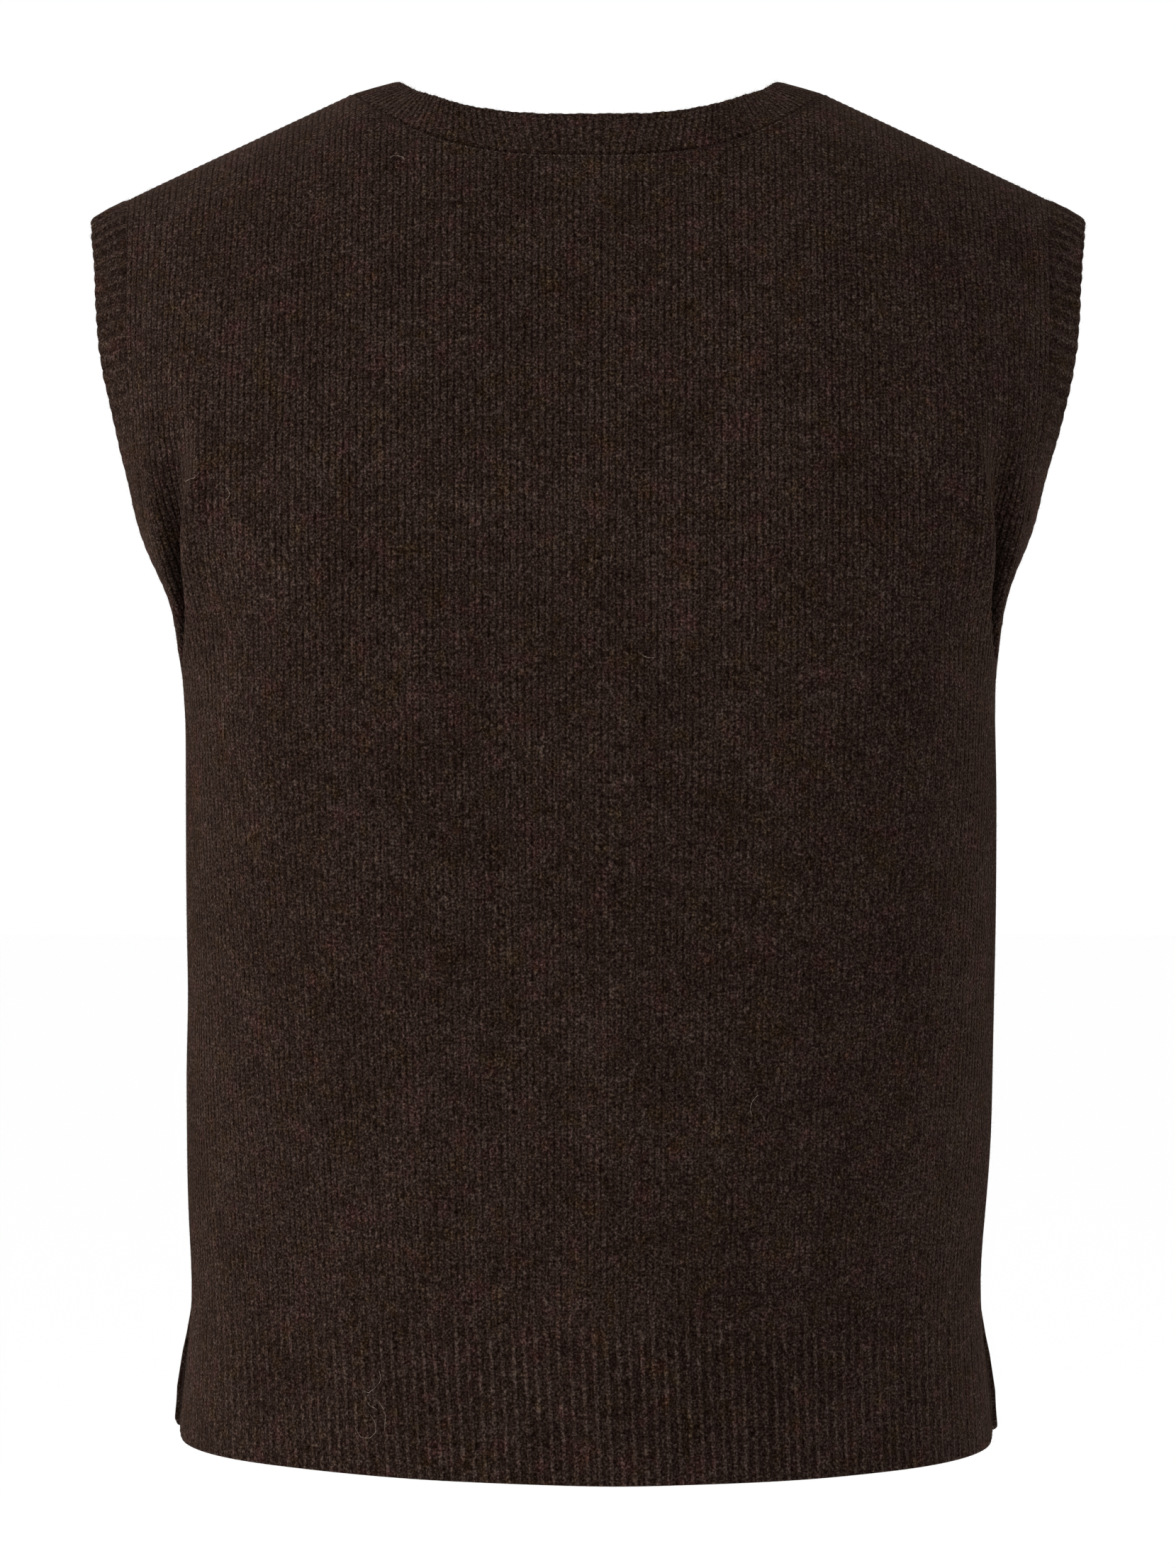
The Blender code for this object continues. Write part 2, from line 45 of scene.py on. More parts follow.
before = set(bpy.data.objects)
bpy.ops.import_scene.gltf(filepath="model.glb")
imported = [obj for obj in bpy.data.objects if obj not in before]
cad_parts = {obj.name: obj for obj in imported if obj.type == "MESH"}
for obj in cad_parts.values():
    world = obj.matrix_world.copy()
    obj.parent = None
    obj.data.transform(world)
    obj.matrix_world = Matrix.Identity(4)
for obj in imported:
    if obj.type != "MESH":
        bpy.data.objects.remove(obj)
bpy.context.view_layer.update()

MM = 0.001
QUARTER_TURN = math.pi / 2
GOLDEN = 0.618034               # spreads numbers evenly without a pattern

# Overall sizes of the vest; the nape dips a little more than in its solids, and is flatter
HIGH_SHOULDER_X = 101 * MM      # middle to a high shoulder point
SHOULDER_FALL = 0.466           # drop of the shoulder line for each unit outward
NAPE_DROP = 33.2 * MM           # how far the neck seam dips at the back, and at the front
THROAT_DROP = 92 * MM
NAPE_FLATNESS = 3.0             # power of the dip's curve at the back
ARMHOLE_SCOOP = 5 * MM          # extra cut into the front armholes
ARMPIT_Z = -262 * MM            # top of the side seams
RIB_TOP_Z = -512 * MM           # where the hem rib and the side vents start
HEM_Z = -576 * MM
RIB_TOP_COURSE = (RIB_TOP_Z - ARMPIT_Z) / (ARMPIT_Z - HEM_Z)
HEM_SIDE_RISE = 3 * MM          # the hem curves up toward the vents
HEM_LEFT_LIFT = 2 * MM          # and hangs a little higher on the wearer's left,
LIFT_MIDDLE_X = 50 * MM         # the lift coming in around this distance from the middle
LIFT_BLEND = 40 * MM
HEM_CORNER_RISE = 3 * MM        # and its corners curve up,
HEM_CORNER_START = 0.9          # from this share of the half width outward,
HEM_CORNER_ROUND = (6 * MM, 3 * MM)     # and are rounded, at the wearer's left and right
VENT_GAPE = 5 * MM              # how far each vent edge stands back from the side line at the hem
ARMHOLE_REACH = 0.58            # share of the body's depth that the armholes take
ARMHOLE_ROUND = 0.75            # share of their height over which they widen from the armpit
STEEP_SHARE = 0.6               # of the way from the armpit's height to the shoulder
SLOPE_STEP = 0.01 * MM          # by which points are moved to find the form's slope

# Knitting
WALES = 172                     # across each panel
HEM_RIBS = 104                  # on each panel
RIB_CROWDING = 0.1              # ribs lie wider apart in the middle by this share
RIB_LEAN = 0.05                 # slope of the hem ribs in the middle; they lean more on one side
RIB_LEAN_EDGE = 0.12            # and straighten up within this share of the half width
RIB_FADE = 14 * MM              # height over which the hem rib comes in
HEM_SIDE_FADE = 0.65            # share by which the hem ribs are flatter at the sides
YOKE_FAN = 0.03                 # the wales spread by this share on the way to the shoulder
STRAIGHT_WALES = 0.763          # share of the half width where the armhole cuts no wale
WALE_POWER = 0.8                # the smaller, the flatter is a wale's crest
WALE_LEVEL = 0.6                # share of a wale's height that lies below the wall's face
JERSEY_BEAD = 0.2               # how much each stitch stands out from the next
WALE_GROOVE_SHADE = (0.12, 0.22)       # painted shade: how much lighter a wale is than its grooves, low and high up
YOKE_HEIGHTS = (140, 220)       # courses above the hem between which that grows

# Bands
NECK_RIBS = 204
ARM_RIBS = 80                   # on each armhole band
NECKBAND_WIDTH = 23 * MM
ARMBAND_WIDTH = 19 * MM
NAPE_SKEW = 0.38                # how far the ribs lean outward between the nape and the shoulders
NAPE_STAND = math.radians(11)   # the neckband tips out from the cloth's line at the nape
SHOULDER_STAND = math.radians(-7)
NAPE_FACING = 0.42              # how far the cloth faces up at the nape, and on the shoulder
SHOULDER_FACING = 0.78
BAND_TURN = 0.5                 # share of a band's width over which its wall tips
NECKBAND_CURL = 0.6 * MM        # how far a band's free edge bends in
ARMBAND_CURL = 1.2 * MM
BAND_OVERLAP = 1.6 * MM         # how far a band reaches over the panel's edge
BAND_LAP = 0.25 * MM            # how far its outer face lies above the panel's
BAND_FOOT = 0.8 * MM            # how far below the panel's edge the chain lies
FOOT_COURSES = (0.7, 1.7)       # courses beside a seam over which its shadow fades
CORNER_SPREAD = 6 * MM          # beside the armpit, where an armhole band reaches down farther
BAND_SQUARENESS = 0.25          # the smaller, the squarer is a band's section
BAND_FLATNESS = 0.8
BAND_INSIDE = 0.6               # height of a rib on a band's inside, as a share of its outside
RIB_UNEVEN = 0.2                # share by which a band's ribs differ in height
RIB_ONSET = 0.12                # share of a band's width over which a rib comes in
FADE_START = 0.4                # height in the armhole, as a sine squared, where its ribs come in
FADE_SPAN = 0.4
EDGE_UNEVEN = 0.35 * MM         # by which a band's free edge waves from rib to rib
LINK_PITCH = 1.15 * MM          # of the chain that joins the neckband
LINK_SIZE = (0.8 * MM, 0.36 * MM, 0.42 * MM)
LINK_TILT = math.radians(38)    # every other link leans the other way
LINK_TONES = (0.12, 0.75)       # its dullest link, and how much paler the palest is

# Edges and folds of the panels
SEAM_CLEAR = 0.03 * MM          # the panels almost touch in the side and shoulder seams
EDGE_ROUND = 1.4 * MM           # the cloth thins to a rounded edge over this width
EDGE_WALL = 0.45                # share of the wall left at the very edge
SEAM_PUCKER = 5 * MM            # how far from a seam the cloth is puckered
SEAM_LUMP = 1.1 * MM            # the puckers' length, over 2 pi
FOLD_ENDS = 3                   # the fade at each end of a fold covers 1 / FOLD_ENDS of its length
TUCK_DEPTH = 20 * MM            # how far the cloth sinks in between the armhole and the side
TUCK_IN = 8 * MM                # and how far it slips behind the side at the same time
TUCK_REACH = 76 * MM            # times the course number, how far a tuck reaches inward
TUCK_LEAN = 1.6                 # the larger, the farther inward is its deepest place
TUCK_COURSES = (0.09, 0.66)     # where it starts and ends
NUDGE = 0.001                   # step in g and c from which the cloth's slope is taken

# Mesh resolution
COLUMNS_PER_WALE = 5
BODY_ROWS = 36                  # of a panel's mesh, from the hem to the tucks
TUCK_ROWS = 32                  # across the tucks, closer together
YOKE_ROWS = 13                  # above the tucks
NECK_EASE = 0.2                 # courses below the neck seam over which the rows close up
BODY_COURSES = 60               # of the table that a form is read from
YOKE_COURSES = 160
SHARES = 220                    # places in it along each course
LINE_POINTS = 1201              # along half a course, when its length is measured
NECK_POINTS = 161               # along half a neck seam
SEAM_POINTS = 400               # along each panel's stretch of a neck or armhole seam
LOOP_POINTS = 1200              # round a whole seam
LOOP_BLUR = 8                   # points over which a seam line is smoothed
NECKBAND_STEPS = 8              # mesh columns for each rib
ARMBAND_STEPS = 14
BAND_PROFILE = 24               # points around a band's section

BODY_RINGS = (
    # height, half width at back, at front, depth at back, at front, squareness, in mm
    (-576, 171.6, 174.8, 112.5, 118.0, 2.15),
    (-545, 169.0, 172.2, 111.0, 116.5, 2.18),
    (-512, 166.6, 166.6, 110.0, 115.0, 2.22),
    (-476, 168.0, 168.0, 110.5, 115.5, 2.28),
    (-440, 169.7, 169.7, 111.5, 116.5, 2.36),
    (-403, 170.4, 170.4, 112.5, 117.5, 2.46),
    (-350, 171.2, 171.2, 113.0, 118.5, 2.66),
    (-300, 171.1, 171.1, 113.0, 117.5, 2.92),
    (-262, 170.7, 170.7, 113.0, 117.3, 3.15),
)
ARMHOLE_EDGE = (
    # share of the height from armpit to shoulder, distance out in mm, squareness of the yoke
    (0.00, 170.7, 3.15),
    (0.10, 168.9, 3.30),
    (0.19, 171.2, 3.42),
    (0.27, 177.7, 3.46),
    (0.35, 182.5, 3.42),
    (0.44, 185.0, 3.30),
    (0.52, 187.9, 3.15),
    (0.61, 190.6, 2.98),
    (0.69, 192.8, 2.85),
    (0.79, 194.0, 2.72),
    (0.90, 194.9, 2.62),
    (1.00, 197.0, 2.58),
)
LEAN_FOLDS = (
    # rise, from x, from z, to x, to z, spread, in mm; the body leans to the wearer's right
    (-1.5, 171, -250, 171, -400, 40),
    (1.2, -171, -270, -171, -470, 40),
    (1.6, 168, -455, 170, -680, 40),
)
BACK_FOLDS = LEAN_FOLDS + (
    (3.0, 163, -125, 167, -250, 9),         # where the back turns in under each arm
    (3.2, -163, -130, -167, -250, 9),
    (1.5, 184, -150, 184, -215, 14),
    (1.6, 140, -250, 70, -380, 26),         # drag from the armpits
    (1.4, -142, -240, -85, -350, 24),
    (1.6, 62, -400, 70, -590, 24),          # long soft waves down to the hem
    (-0.8, 36, -300, 33, -590, 22),
    (2.4, -9, -215, -13, -640, 24),
    (-1.3, -110, -420, -116, -590, 22),
    (-1.2, 118, -440, 122, -590, 20),
    (-1.4, 2, -90, 4, -250, 34),            # hollow between the shoulder blades
    (0.8, 94, -83, 59, -165, 14),
    (0.8, -86, -95, -60, -134, 14),
)
FRONT_FOLDS = LEAN_FOLDS + (
    (2.6, 162, -140, 166, -250, 9),
    (2.4, -162, -135, -166, -250, 9),
    (2.0, -140, -240, -78, -370, 26),
    (2.1, 140, -248, 82, -390, 26),
    (1.7, -58, -390, -66, -590, 25),
    (-1.4, -8, -340, 0, -590, 27),
    (1.5, 52, -400, 60, -590, 26),
    (-1.2, 112, -430, 118, -590, 20),
    (-1.3, -116, -450, -120, -590, 22),
)

BACK_HAIRS = (
    # across from the middle, height, in mm; heading and turn for each step, in degrees; steps
    (85, -532, -50, -9, 16),
    (90, -539, -95, 7, 13),
    (84, -543, -40, -6, 14),
    (88, -549, -30, -9, 24),
    (164, -168, -70, 10, 14),
    (148, -172, -20, -14, 9),
    (167, -182, -60, 12, 11),
    (82, -37, 60, -16, 10),
    (-70, -420, 200, 8, 12),
    (-20, -240, -60, 11, 9),
)
FRONT_HAIRS = (
    (60, -300, 160, 9, 14),
    (-95, -470, -60, -8, 18),
    (-30, -180, 30, 12, 10),
    (110, -520, 80, -10, 12),
)
HAIR_STEP = 0.9 * MM
HAIR_WIGGLE = 14                # degrees, at random, for each step
HAIR_PLACES = 241               # looked at across and up a panel to find where a hair starts
SHORTEST_FIBRE = 0.35           # share of the longest fibre's length
FIBRE_LIFTS = (4, 80)           # least and most that a fibre rises from the cloth, in degrees
NEARLY_UP = (0.12, 0.05, 1.0)   # no cloth faces exactly this way, so all have a sideways
FIBRE_AROUND = 0.62             # share of a band's section, from its seam on, that bears fibres

LIGHTS = (
    # name, place, size, share of the key light's power
    ("key_light", (2.3, 1.05, 0.1), 1.2, 1.0),
    ("chest_light", (-1.2, -2.0, 0.9), 1.6, 0.25),
)
LIGHTS_AIM = (0, 0, -0.3)
FLOOR_WHITE = 0.99
FLOOR_SIZE = 30


def length_setting(name, description, default):
    return bpy.props.FloatProperty(name=name, description=description, default=default,
                                   unit="LENGTH", precision=4)


def colour_setting(name, description, default):
    return bpy.props.FloatVectorProperty(name=name, description=description, default=default,
                                         subtype="COLOR", size=3, min=0, max=2)


def share_setting(name, description, default):
    return bpy.props.FloatProperty(name=name, description=description, default=default,
                                   subtype="FACTOR", min=0, max=1)


class VestCloth(bpy.types.PropertyGroup):
    """Sizes and colours of the knitted cloth."""
    wall: length_setting("Wall", "Thickness of the cloth", 1.8 * MM)
    wale_rise: length_setting("Wale rise", "How far a wale stands above its grooves", 0.2 * MM)
    pucker: length_setting("Pucker", "Height of the lumps beside a seam", 0.3 * MM)
    hem_rise: length_setting("Hem rib rise", "How far a hem rib stands out", 0.45 * MM)
    neck_rise: length_setting("Neck rib rise", "How far a neckband rib stands out", 0.28 * MM)
    arm_rise: length_setting("Armhole rib rise", "How far an armhole rib stands out", 0.65 * MM)
    course: length_setting("Course", "Height of one course of stitches", 1.9 * MM)
    stitch_depth: length_setting("Stitch depth", "Depth of the stitches in the bump", 0.4 * MM)
    # the darkest stop of the melange, reached by dark flecks at random and by the painted shade in
    # the grooves
    shade: colour_setting("Shade", "Darkest fibres, deep in the knit", (0.0024, 0.0009, 0.0005))
    yarn: colour_setting("Yarn", "Main colour of the yarn", (0.0127, 0.0074, 0.0058))
    light: colour_setting("Light fibre", "Lighter fibres of the melange", (0.0340, 0.0228, 0.0188))
    pale: colour_setting("Pale fibre", "Palest fibres of the melange", (0.0800, 0.0570, 0.0480))
    mauve: colour_setting("Mauve tint", "Pinkish clouds in the yarn", (1.20, 0.91, 1.00))
    ochre: colour_setting("Ochre tint", "Yellowish clouds in the yarn", (1.06, 1.02, 0.74))
    sheen: share_setting("Sheen", "Glow of the nap seen along the surface", 0.06)


class VestNap(bpy.types.PropertyGroup):
    """Loose fibres that stand out of the yarn."""
    length: length_setting("Fibre length", "Longest fibre of the nap", 2.4 * MM)
    width: length_setting("Fibre width", "Width of a fibre at its root", 0.05 * MM)
    panel_fibres: bpy.props.IntProperty(name="Panel fibres", default=15000, min=1,
                                        description="Fibres on each body panel")
    band_fibres: bpy.props.IntProperty(name="Band fibres", default=3000, min=1,
                                       description="Fibres on each band")
    hair_width: length_setting("Hair width", "Width of the few long stray hairs", 0.12 * MM)
    hair: colour_setting("Hair", "Colour of the stray hairs", (0.36, 0.30, 0.25))
    seed: bpy.props.IntProperty(name="Seed", description="Start of the random draws", default=7)


class VestStage(bpy.types.PropertyGroup):
    """Studio around the vest."""
    floor_drop: length_setting("Floor", "How far the floor lies below the shoulders", 1.4)
    camera_distance: length_setting("Camera distance", "From the camera to the vest", 1.87)
    camera_height: length_setting("Camera height", "Of the camera above the shoulders", -0.2935)
    frame_height: length_setting("Frame height", "What the picture takes in at the vest", 0.6713)
    key: bpy.props.FloatProperty(name="Key light", description="Power of the main light in watts",
                                 default=46, min=0)
    key_colour: colour_setting("Key colour", "Colour of the main light", (1.0, 0.91, 0.86))
    surround: bpy.props.FloatProperty(name="Surround", description="Brightness of the room",
                                      default=1.0, min=0)


def spline(xs, ys):
    """A natural cubic spline through the points, as a function."""
    xs = np.asarray(xs, float)
    ys = np.asarray(ys, float)
    gaps = np.diff(xs)
    last = len(xs) - 1
    matrix = np.eye(last + 1)
    right = np.zeros(last + 1)
    for i in range(1, last):
        matrix[i, i - 1:i + 2] = gaps[i - 1], 2 * (gaps[i - 1] + gaps[i]), gaps[i]
        right[i] = 6 * ((ys[i + 1] - ys[i]) / gaps[i] - (ys[i] - ys[i - 1]) / gaps[i - 1])
    bend = np.linalg.solve(matrix, right)

    def at(x):
        x = np.clip(x, xs[0], xs[-1])
        i = np.clip(np.searchsorted(xs, x) - 1, 0, last - 1)
        a = (xs[i + 1] - x) / gaps[i]
        b = 1 - a
        curved = (a**3 - a) * bend[i] + (b**3 - b) * bend[i + 1]
        return a * ys[i] + b * ys[i + 1] + curved * gaps[i]**2 / 6
    return at


ring_z, ring_back, ring_front, ring_back_depth, ring_front_depth, ring_square = np.array(BODY_RINGS).T
edge_share, edge_out, edge_square = np.array(ARMHOLE_EDGE).T
ring_squareness = spline(ring_z * MM, ring_square)
armhole_out = spline(edge_share, edge_out * MM)
yoke_squareness = spline(edge_share, edge_square)


@dataclass(frozen=True)
class RibLook:
    """How ribs look from close by."""
    columns: int                # columns of stitches to each rib
    half_line: float            # strength of the stitches between two ribs, against those on them
    bead: float                 # how much each stitch stands out from the next
    crest: float                # power of the crest's shape; a small one leaves a narrow groove
    contrast: float             # painted shade: how much darker the groove is, and lighter the crest
    depth: float                # share of the jersey's stitch depth
    foot: float                 # painted shade: how much darker the first course beside the seam is


HEM_LOOK = RibLook(2, 0.7, 0.12, 1.6, 0.12, 0.9, 0.0)
NECK_LOOK = RibLook(1, 1.0, 0.1, 0.9, 0.09, 0.65, 0.15)
ARM_LOOK = RibLook(2, 0.8, 0.15, 0.5, 0.12, 0.9, 0.05)


@dataclass(frozen=True)
class Panel:
    """One of the two body panels."""
    name: str
    slot: str
    sign: int                   # +1 for the back, -1 for the front
    half_width: object
    depth: object
    neck_drop: float
    armhole_scoop: float
    folds: tuple
    tuck: float                 # share of the full depth of its tucks
    flat: tuple                 # width and length of the cloth before it was worn
    flat_area: float


BACK = Panel("back_panel", "back_jersey", 1, spline(ring_z * MM, ring_back * MM),
             spline(ring_z * MM, ring_back_depth * MM), NAPE_DROP, 0.0, BACK_FOLDS,
             1.0, (0.485, 0.629), 0.256)
FRONT = Panel("front_panel", "front_jersey", -1, spline(ring_z * MM, ring_front * MM),
              spline(ring_z * MM, ring_front_depth * MM), THROAT_DROP, ARMHOLE_SCOOP,
              FRONT_FOLDS, 0.6, (0.492, 0.632), 0.247)


def unit(vectors):
    """The same directions, one unit long."""
    return vectors / np.linalg.norm(vectors, axis=-1)[..., None]


def line_lengths(points):
    """Distance along a line at each of its points."""
    steps = np.linalg.norm(np.diff(points, axis=0), axis=1)
    return np.concatenate([[0], np.cumsum(steps)])


def resampled(points, run, along):
    """Points at the distances along a line whose own points lie at the distances run."""
    return np.stack([np.interp(along, run, points[:, k]) for k in range(3)], axis=1)


def smooth_step(x):
    x = np.clip(x, 0, 1)
    return x * x * (3 - 2 * x)


def sway(x, swing, slow):
    """A sine with an uneven pace, for things that repeat without a pattern."""
    return np.sin(x + swing * np.sin(slow * x))


def turned(one, two, angle):
    """Directions that turn from the first toward the second, by an angle each."""
    return one * np.cos(angle)[:, None] + two * np.sin(angle)[:, None]


def shoulder_ridge(x):
    """Height of the shoulder line; inside the neck it levels out, where nothing is knitted."""
    x = np.abs(x)
    level = SHOULDER_FALL * HIGH_SHOULDER_X / 5
    inside = level * (1 - (x / HIGH_SHOULDER_X)**5)
    return np.where(x < HIGH_SHOULDER_X, inside, -SHOULDER_FALL * (x - HIGH_SHOULDER_X))


def armhole_share(share):
    """Depth share that the armhole takes at a height share, rounded toward the armpit."""
    near = 1 - np.minimum(share / ARMHOLE_ROUND, 1)
    return ARMHOLE_REACH * np.sqrt(np.maximum(1 - near**2, 0))


def yoke_half_width(panel, share, power):
    """Half width of the whole oval that a yoke course is cut from."""
    out = armhole_out(share) - panel.armhole_scoop * np.sin(np.pi * np.clip(share, 0, 1))
    return out / (1 - armhole_share(share)**power)**(1 / power)


def height_share(x, z):
    """Share of the way up from the armpit's height to the shoulder line."""
    return (z - ARMPIT_Z) / (shoulder_ridge(x) - ARMPIT_Z)


def fullness(panel, points):
    """Zero on the panel's surface and positive outside it; one form for low places, one for high."""
    x, y, z = points.T
    x = np.abs(x)
    share = height_share(x, z)
    above = np.maximum(share, 0)
    power = np.where(share > 0, yoke_squareness(above), ring_squareness(z))
    half = np.where(share > 0, yoke_half_width(panel, above, power), panel.half_width(z))
    across = (x / half)**power
    lean = 1 - above**2
    depth = panel.depth(np.minimum(z, ARMPIT_Z))
    low = across + (np.abs(y) / (depth * np.sqrt(np.maximum(lean, 1e-9))))**power - 1
    high = (y / depth)**2 - np.maximum(1 - across, 0)**(2 / power) * lean
    return low, high


def surface_normals(panel, points):
    """Outward directions at points of the first quadrant."""
    slopes = []
    for step in np.eye(3) * SLOPE_STEP:
        slopes.append(np.subtract(fullness(panel, points + step), fullness(panel, points - step)))
    low, high = np.stack(slopes, axis=-1)
    steep = height_share(points[:, 0], points[:, 2]) > STEEP_SHARE
    return unit(np.where(steep[:, None], high, low))


def course_line(panel, c):
    """Finely spaced points of one course, from the middle to the edge."""
    if c <= 0:
        z = ARMPIT_Z + c * (ARMPIT_Z - HEM_Z)
        power = float(ring_squareness(z))
        half = float(panel.half_width(z))
        depth = float(panel.depth(z))
        below_rib_top = max((RIB_TOP_Z - z) / (RIB_TOP_Z - HEM_Z), 0)
        reach = VENT_GAPE * below_rib_top / depth
        lean = 1.0
    else:
        turn = QUARTER_TURN * c * c
        share = math.sin(turn)
        lean = math.cos(turn)
        power = float(yoke_squareness(share))
        half = float(yoke_half_width(panel, share, power))
        depth = float(panel.depth(ARMPIT_Z))
        reach = float(armhole_share(share))
    end = math.acos(reach**(power / 2))
    angle = np.linspace(0, end, LINE_POINTS)
    x = half * np.sin(angle)**(2 / power)
    y = depth * np.maximum(np.cos(angle), 0)**(2 / power) * lean
    if c <= 0:
        z = np.full_like(x, z)
    else:
        z = ARMPIT_Z + share * (shoulder_ridge(x) - ARMPIT_Z)
    return np.stack([x, y, z], axis=1)


class Form:
    """A panel's middle surface, tabulated over courses and over shares of each course."""

    def __init__(self, panel):
        self.panel = panel
        body = np.linspace(-1, 0, BODY_COURSES, endpoint=False)
        self.courses = np.concatenate([body, np.linspace(0, 1, YOKE_COURSES)])
        rows = []
        normals = []
        lengths = []
        for c in self.courses:
            line = course_line(panel, c)
            run = line_lengths(line)
            row = resampled(line, run, np.linspace(0, run[-1], SHARES))
            rows.append(row)
            normals.append(surface_normals(panel, row))
            lengths.append(run[-1])
        self.points = np.array(rows)
        self.normals = np.array(normals)
        self.lengths = np.array(lengths)
        self.heights = line_lengths(self.points[:, 0])
        self.armpit = float(self.length(0))
        self.neck_g, self.neck_c = self.neck_line()

    def length(self, c):
        """Length of course c, from the middle to its end."""
        return np.interp(c, self.courses, self.lengths)

    def fan(self, c):
        """How far the wales have spread at course c."""
        return 1 + YOKE_FAN * np.maximum(c, 0)**2

    def read(self, share, side, c):
        """Points and outward directions at a share of course c; side is +1 to the right."""
        share, side, c = np.broadcast_arrays(share, side, c)
        row = np.clip(np.searchsorted(self.courses, c) - 1, 0, len(self.courses) - 2)
        rise = ((c - self.courses[row]) / (self.courses[row + 1] - self.courses[row]))[..., None]
        place = share * (SHARES - 1)
        column = np.clip(place.astype(int), 0, SHARES - 2)
        run = (place - column)[..., None]
        x_sign = np.where(side < 0, -1.0, 1.0) * -self.panel.sign
        flip = np.stack([x_sign, np.full(share.shape, float(self.panel.sign)),
                         np.ones(share.shape)], axis=-1)
        found = []
        for table in (self.points, self.normals):
            low = table[row, column] * (1 - run) + table[row, column + 1] * run
            high = table[row + 1, column] * (1 - run) + table[row + 1, column + 1] * run
            found.append((low * (1 - rise) + high * rise) * flip)
        return found[0], unit(found[1])

    def share_of(self, g, c):
        """Share of course c at which wale g crosses it."""
        size = np.abs(g)
        length = self.length(c)
        straight = size * self.armpit * self.fan(c)
        inner = STRAIGHT_WALES * self.armpit * self.fan(c)
        outer = inner + (length - inner) * (size - STRAIGHT_WALES) / (1 - STRAIGHT_WALES)
        along = np.where(size < STRAIGHT_WALES, straight, outer)
        return np.where(c > 0, along / length, size)

    def wale_of(self, g, c):
        """Number of the wale, counted from the middle; the armhole cuts off the last ones."""
        cut = self.share_of(g, c) * self.length(c) / (self.armpit * self.fan(c))
        return np.sign(g) * np.where(c > 0, cut, np.abs(g)) * WALES / 2

    def height_of(self, c):
        """Distance up the cloth from the hem, in the middle of the panel."""
        return np.interp(c, self.courses, self.heights)

    def course_at(self, height):
        return np.interp(height, self.heights, self.courses)

    def neck_line(self):
        """g and c along the neck seam, from the middle to the high shoulder point."""
        panel = self.panel
        wales = []
        courses = []
        shares = np.linspace(0, 1, SHARES)
        for tau in np.linspace(0, 1, NECK_POINTS):
            x = HIGH_SHOULDER_X * math.sin(QUARTER_TURN * tau)
            if panel.sign > 0:
                z = -panel.neck_drop * (1 - (x / HIGH_SHOULDER_X)**NAPE_FLATNESS)
            else:
                z = -panel.neck_drop * math.cos(QUARTER_TURN * tau)
            c = math.sqrt(math.asin(min(height_share(x, z), 1.0)) / QUARTER_TURN)
            points, _ = self.read(shares, 1.0, c)
            found = float(np.interp(x, np.abs(points[:, 0]), shares))
            wales.append(found * self.length(c) / (self.armpit * self.fan(c)))
            courses.append(c)
        return np.array(wales), np.array(courses)

    def neck_course(self, g):
        """The course at which wale g ends, at the neck seam or on the shoulder."""
        return np.interp(np.abs(g), self.neck_g, self.neck_c, right=1.0)


def drape(points, panel):
    """Soft folds, as a rise or fall along the cloth's outward direction."""
    x = points[..., 0] / MM
    z = points[..., 2] / MM
    total = np.zeros_like(x)
    for rise, x0, z0, x1, z1, spread in panel.folds:
        length = math.hypot(x1 - x0, z1 - z0)
        run_x = (x1 - x0) / length
        run_z = (z1 - z0) / length
        along = ((x - x0) * run_x + (z - z0) * run_z) / length
        off = (x - x0) * -run_z + (z - z0) * run_x
        ends = np.clip(along * FOLD_ENDS + 0.5, 0, 1) * np.clip((1 - along) * FOLD_ENDS + 0.5, 0, 1)
        total += rise * np.exp(-(off / spread)**2) * smooth_step(ends)
    return total * MM


def beside_armhole(form, g, c):
    """Distance along a course from its end, at the side seam or the armhole."""
    return (1 - form.share_of(g, c)) * form.length(c)


def tuck(form, g, c):
    """How deep the cloth is tucked in beside the armpits, from 0 to 1."""
    across = np.clip(beside_armhole(form, g, c) / (TUCK_REACH * np.maximum(c, NUDGE)), 0, 1)
    low, high = TUCK_COURSES
    up = np.clip((c - low) / (high - low), 0, 1)
    return form.panel.tuck * (np.sin(np.pi * across**TUCK_LEAN) * np.sin(np.pi * up))**2


def middle_points(form, g, c):
    """Points in the middle of the panel's wall, with its folds and tucks."""
    points, normals = form.read(form.share_of(g, c), np.sign(g), c)
    points = points + normals * drape(points, form.panel)[..., None]
    depth = tuck(form, g, c)
    points[..., 0] -= np.sign(points[..., 0]) * TUCK_IN * depth
    points[..., 1] -= form.panel.sign * TUCK_DEPTH * depth
    return points


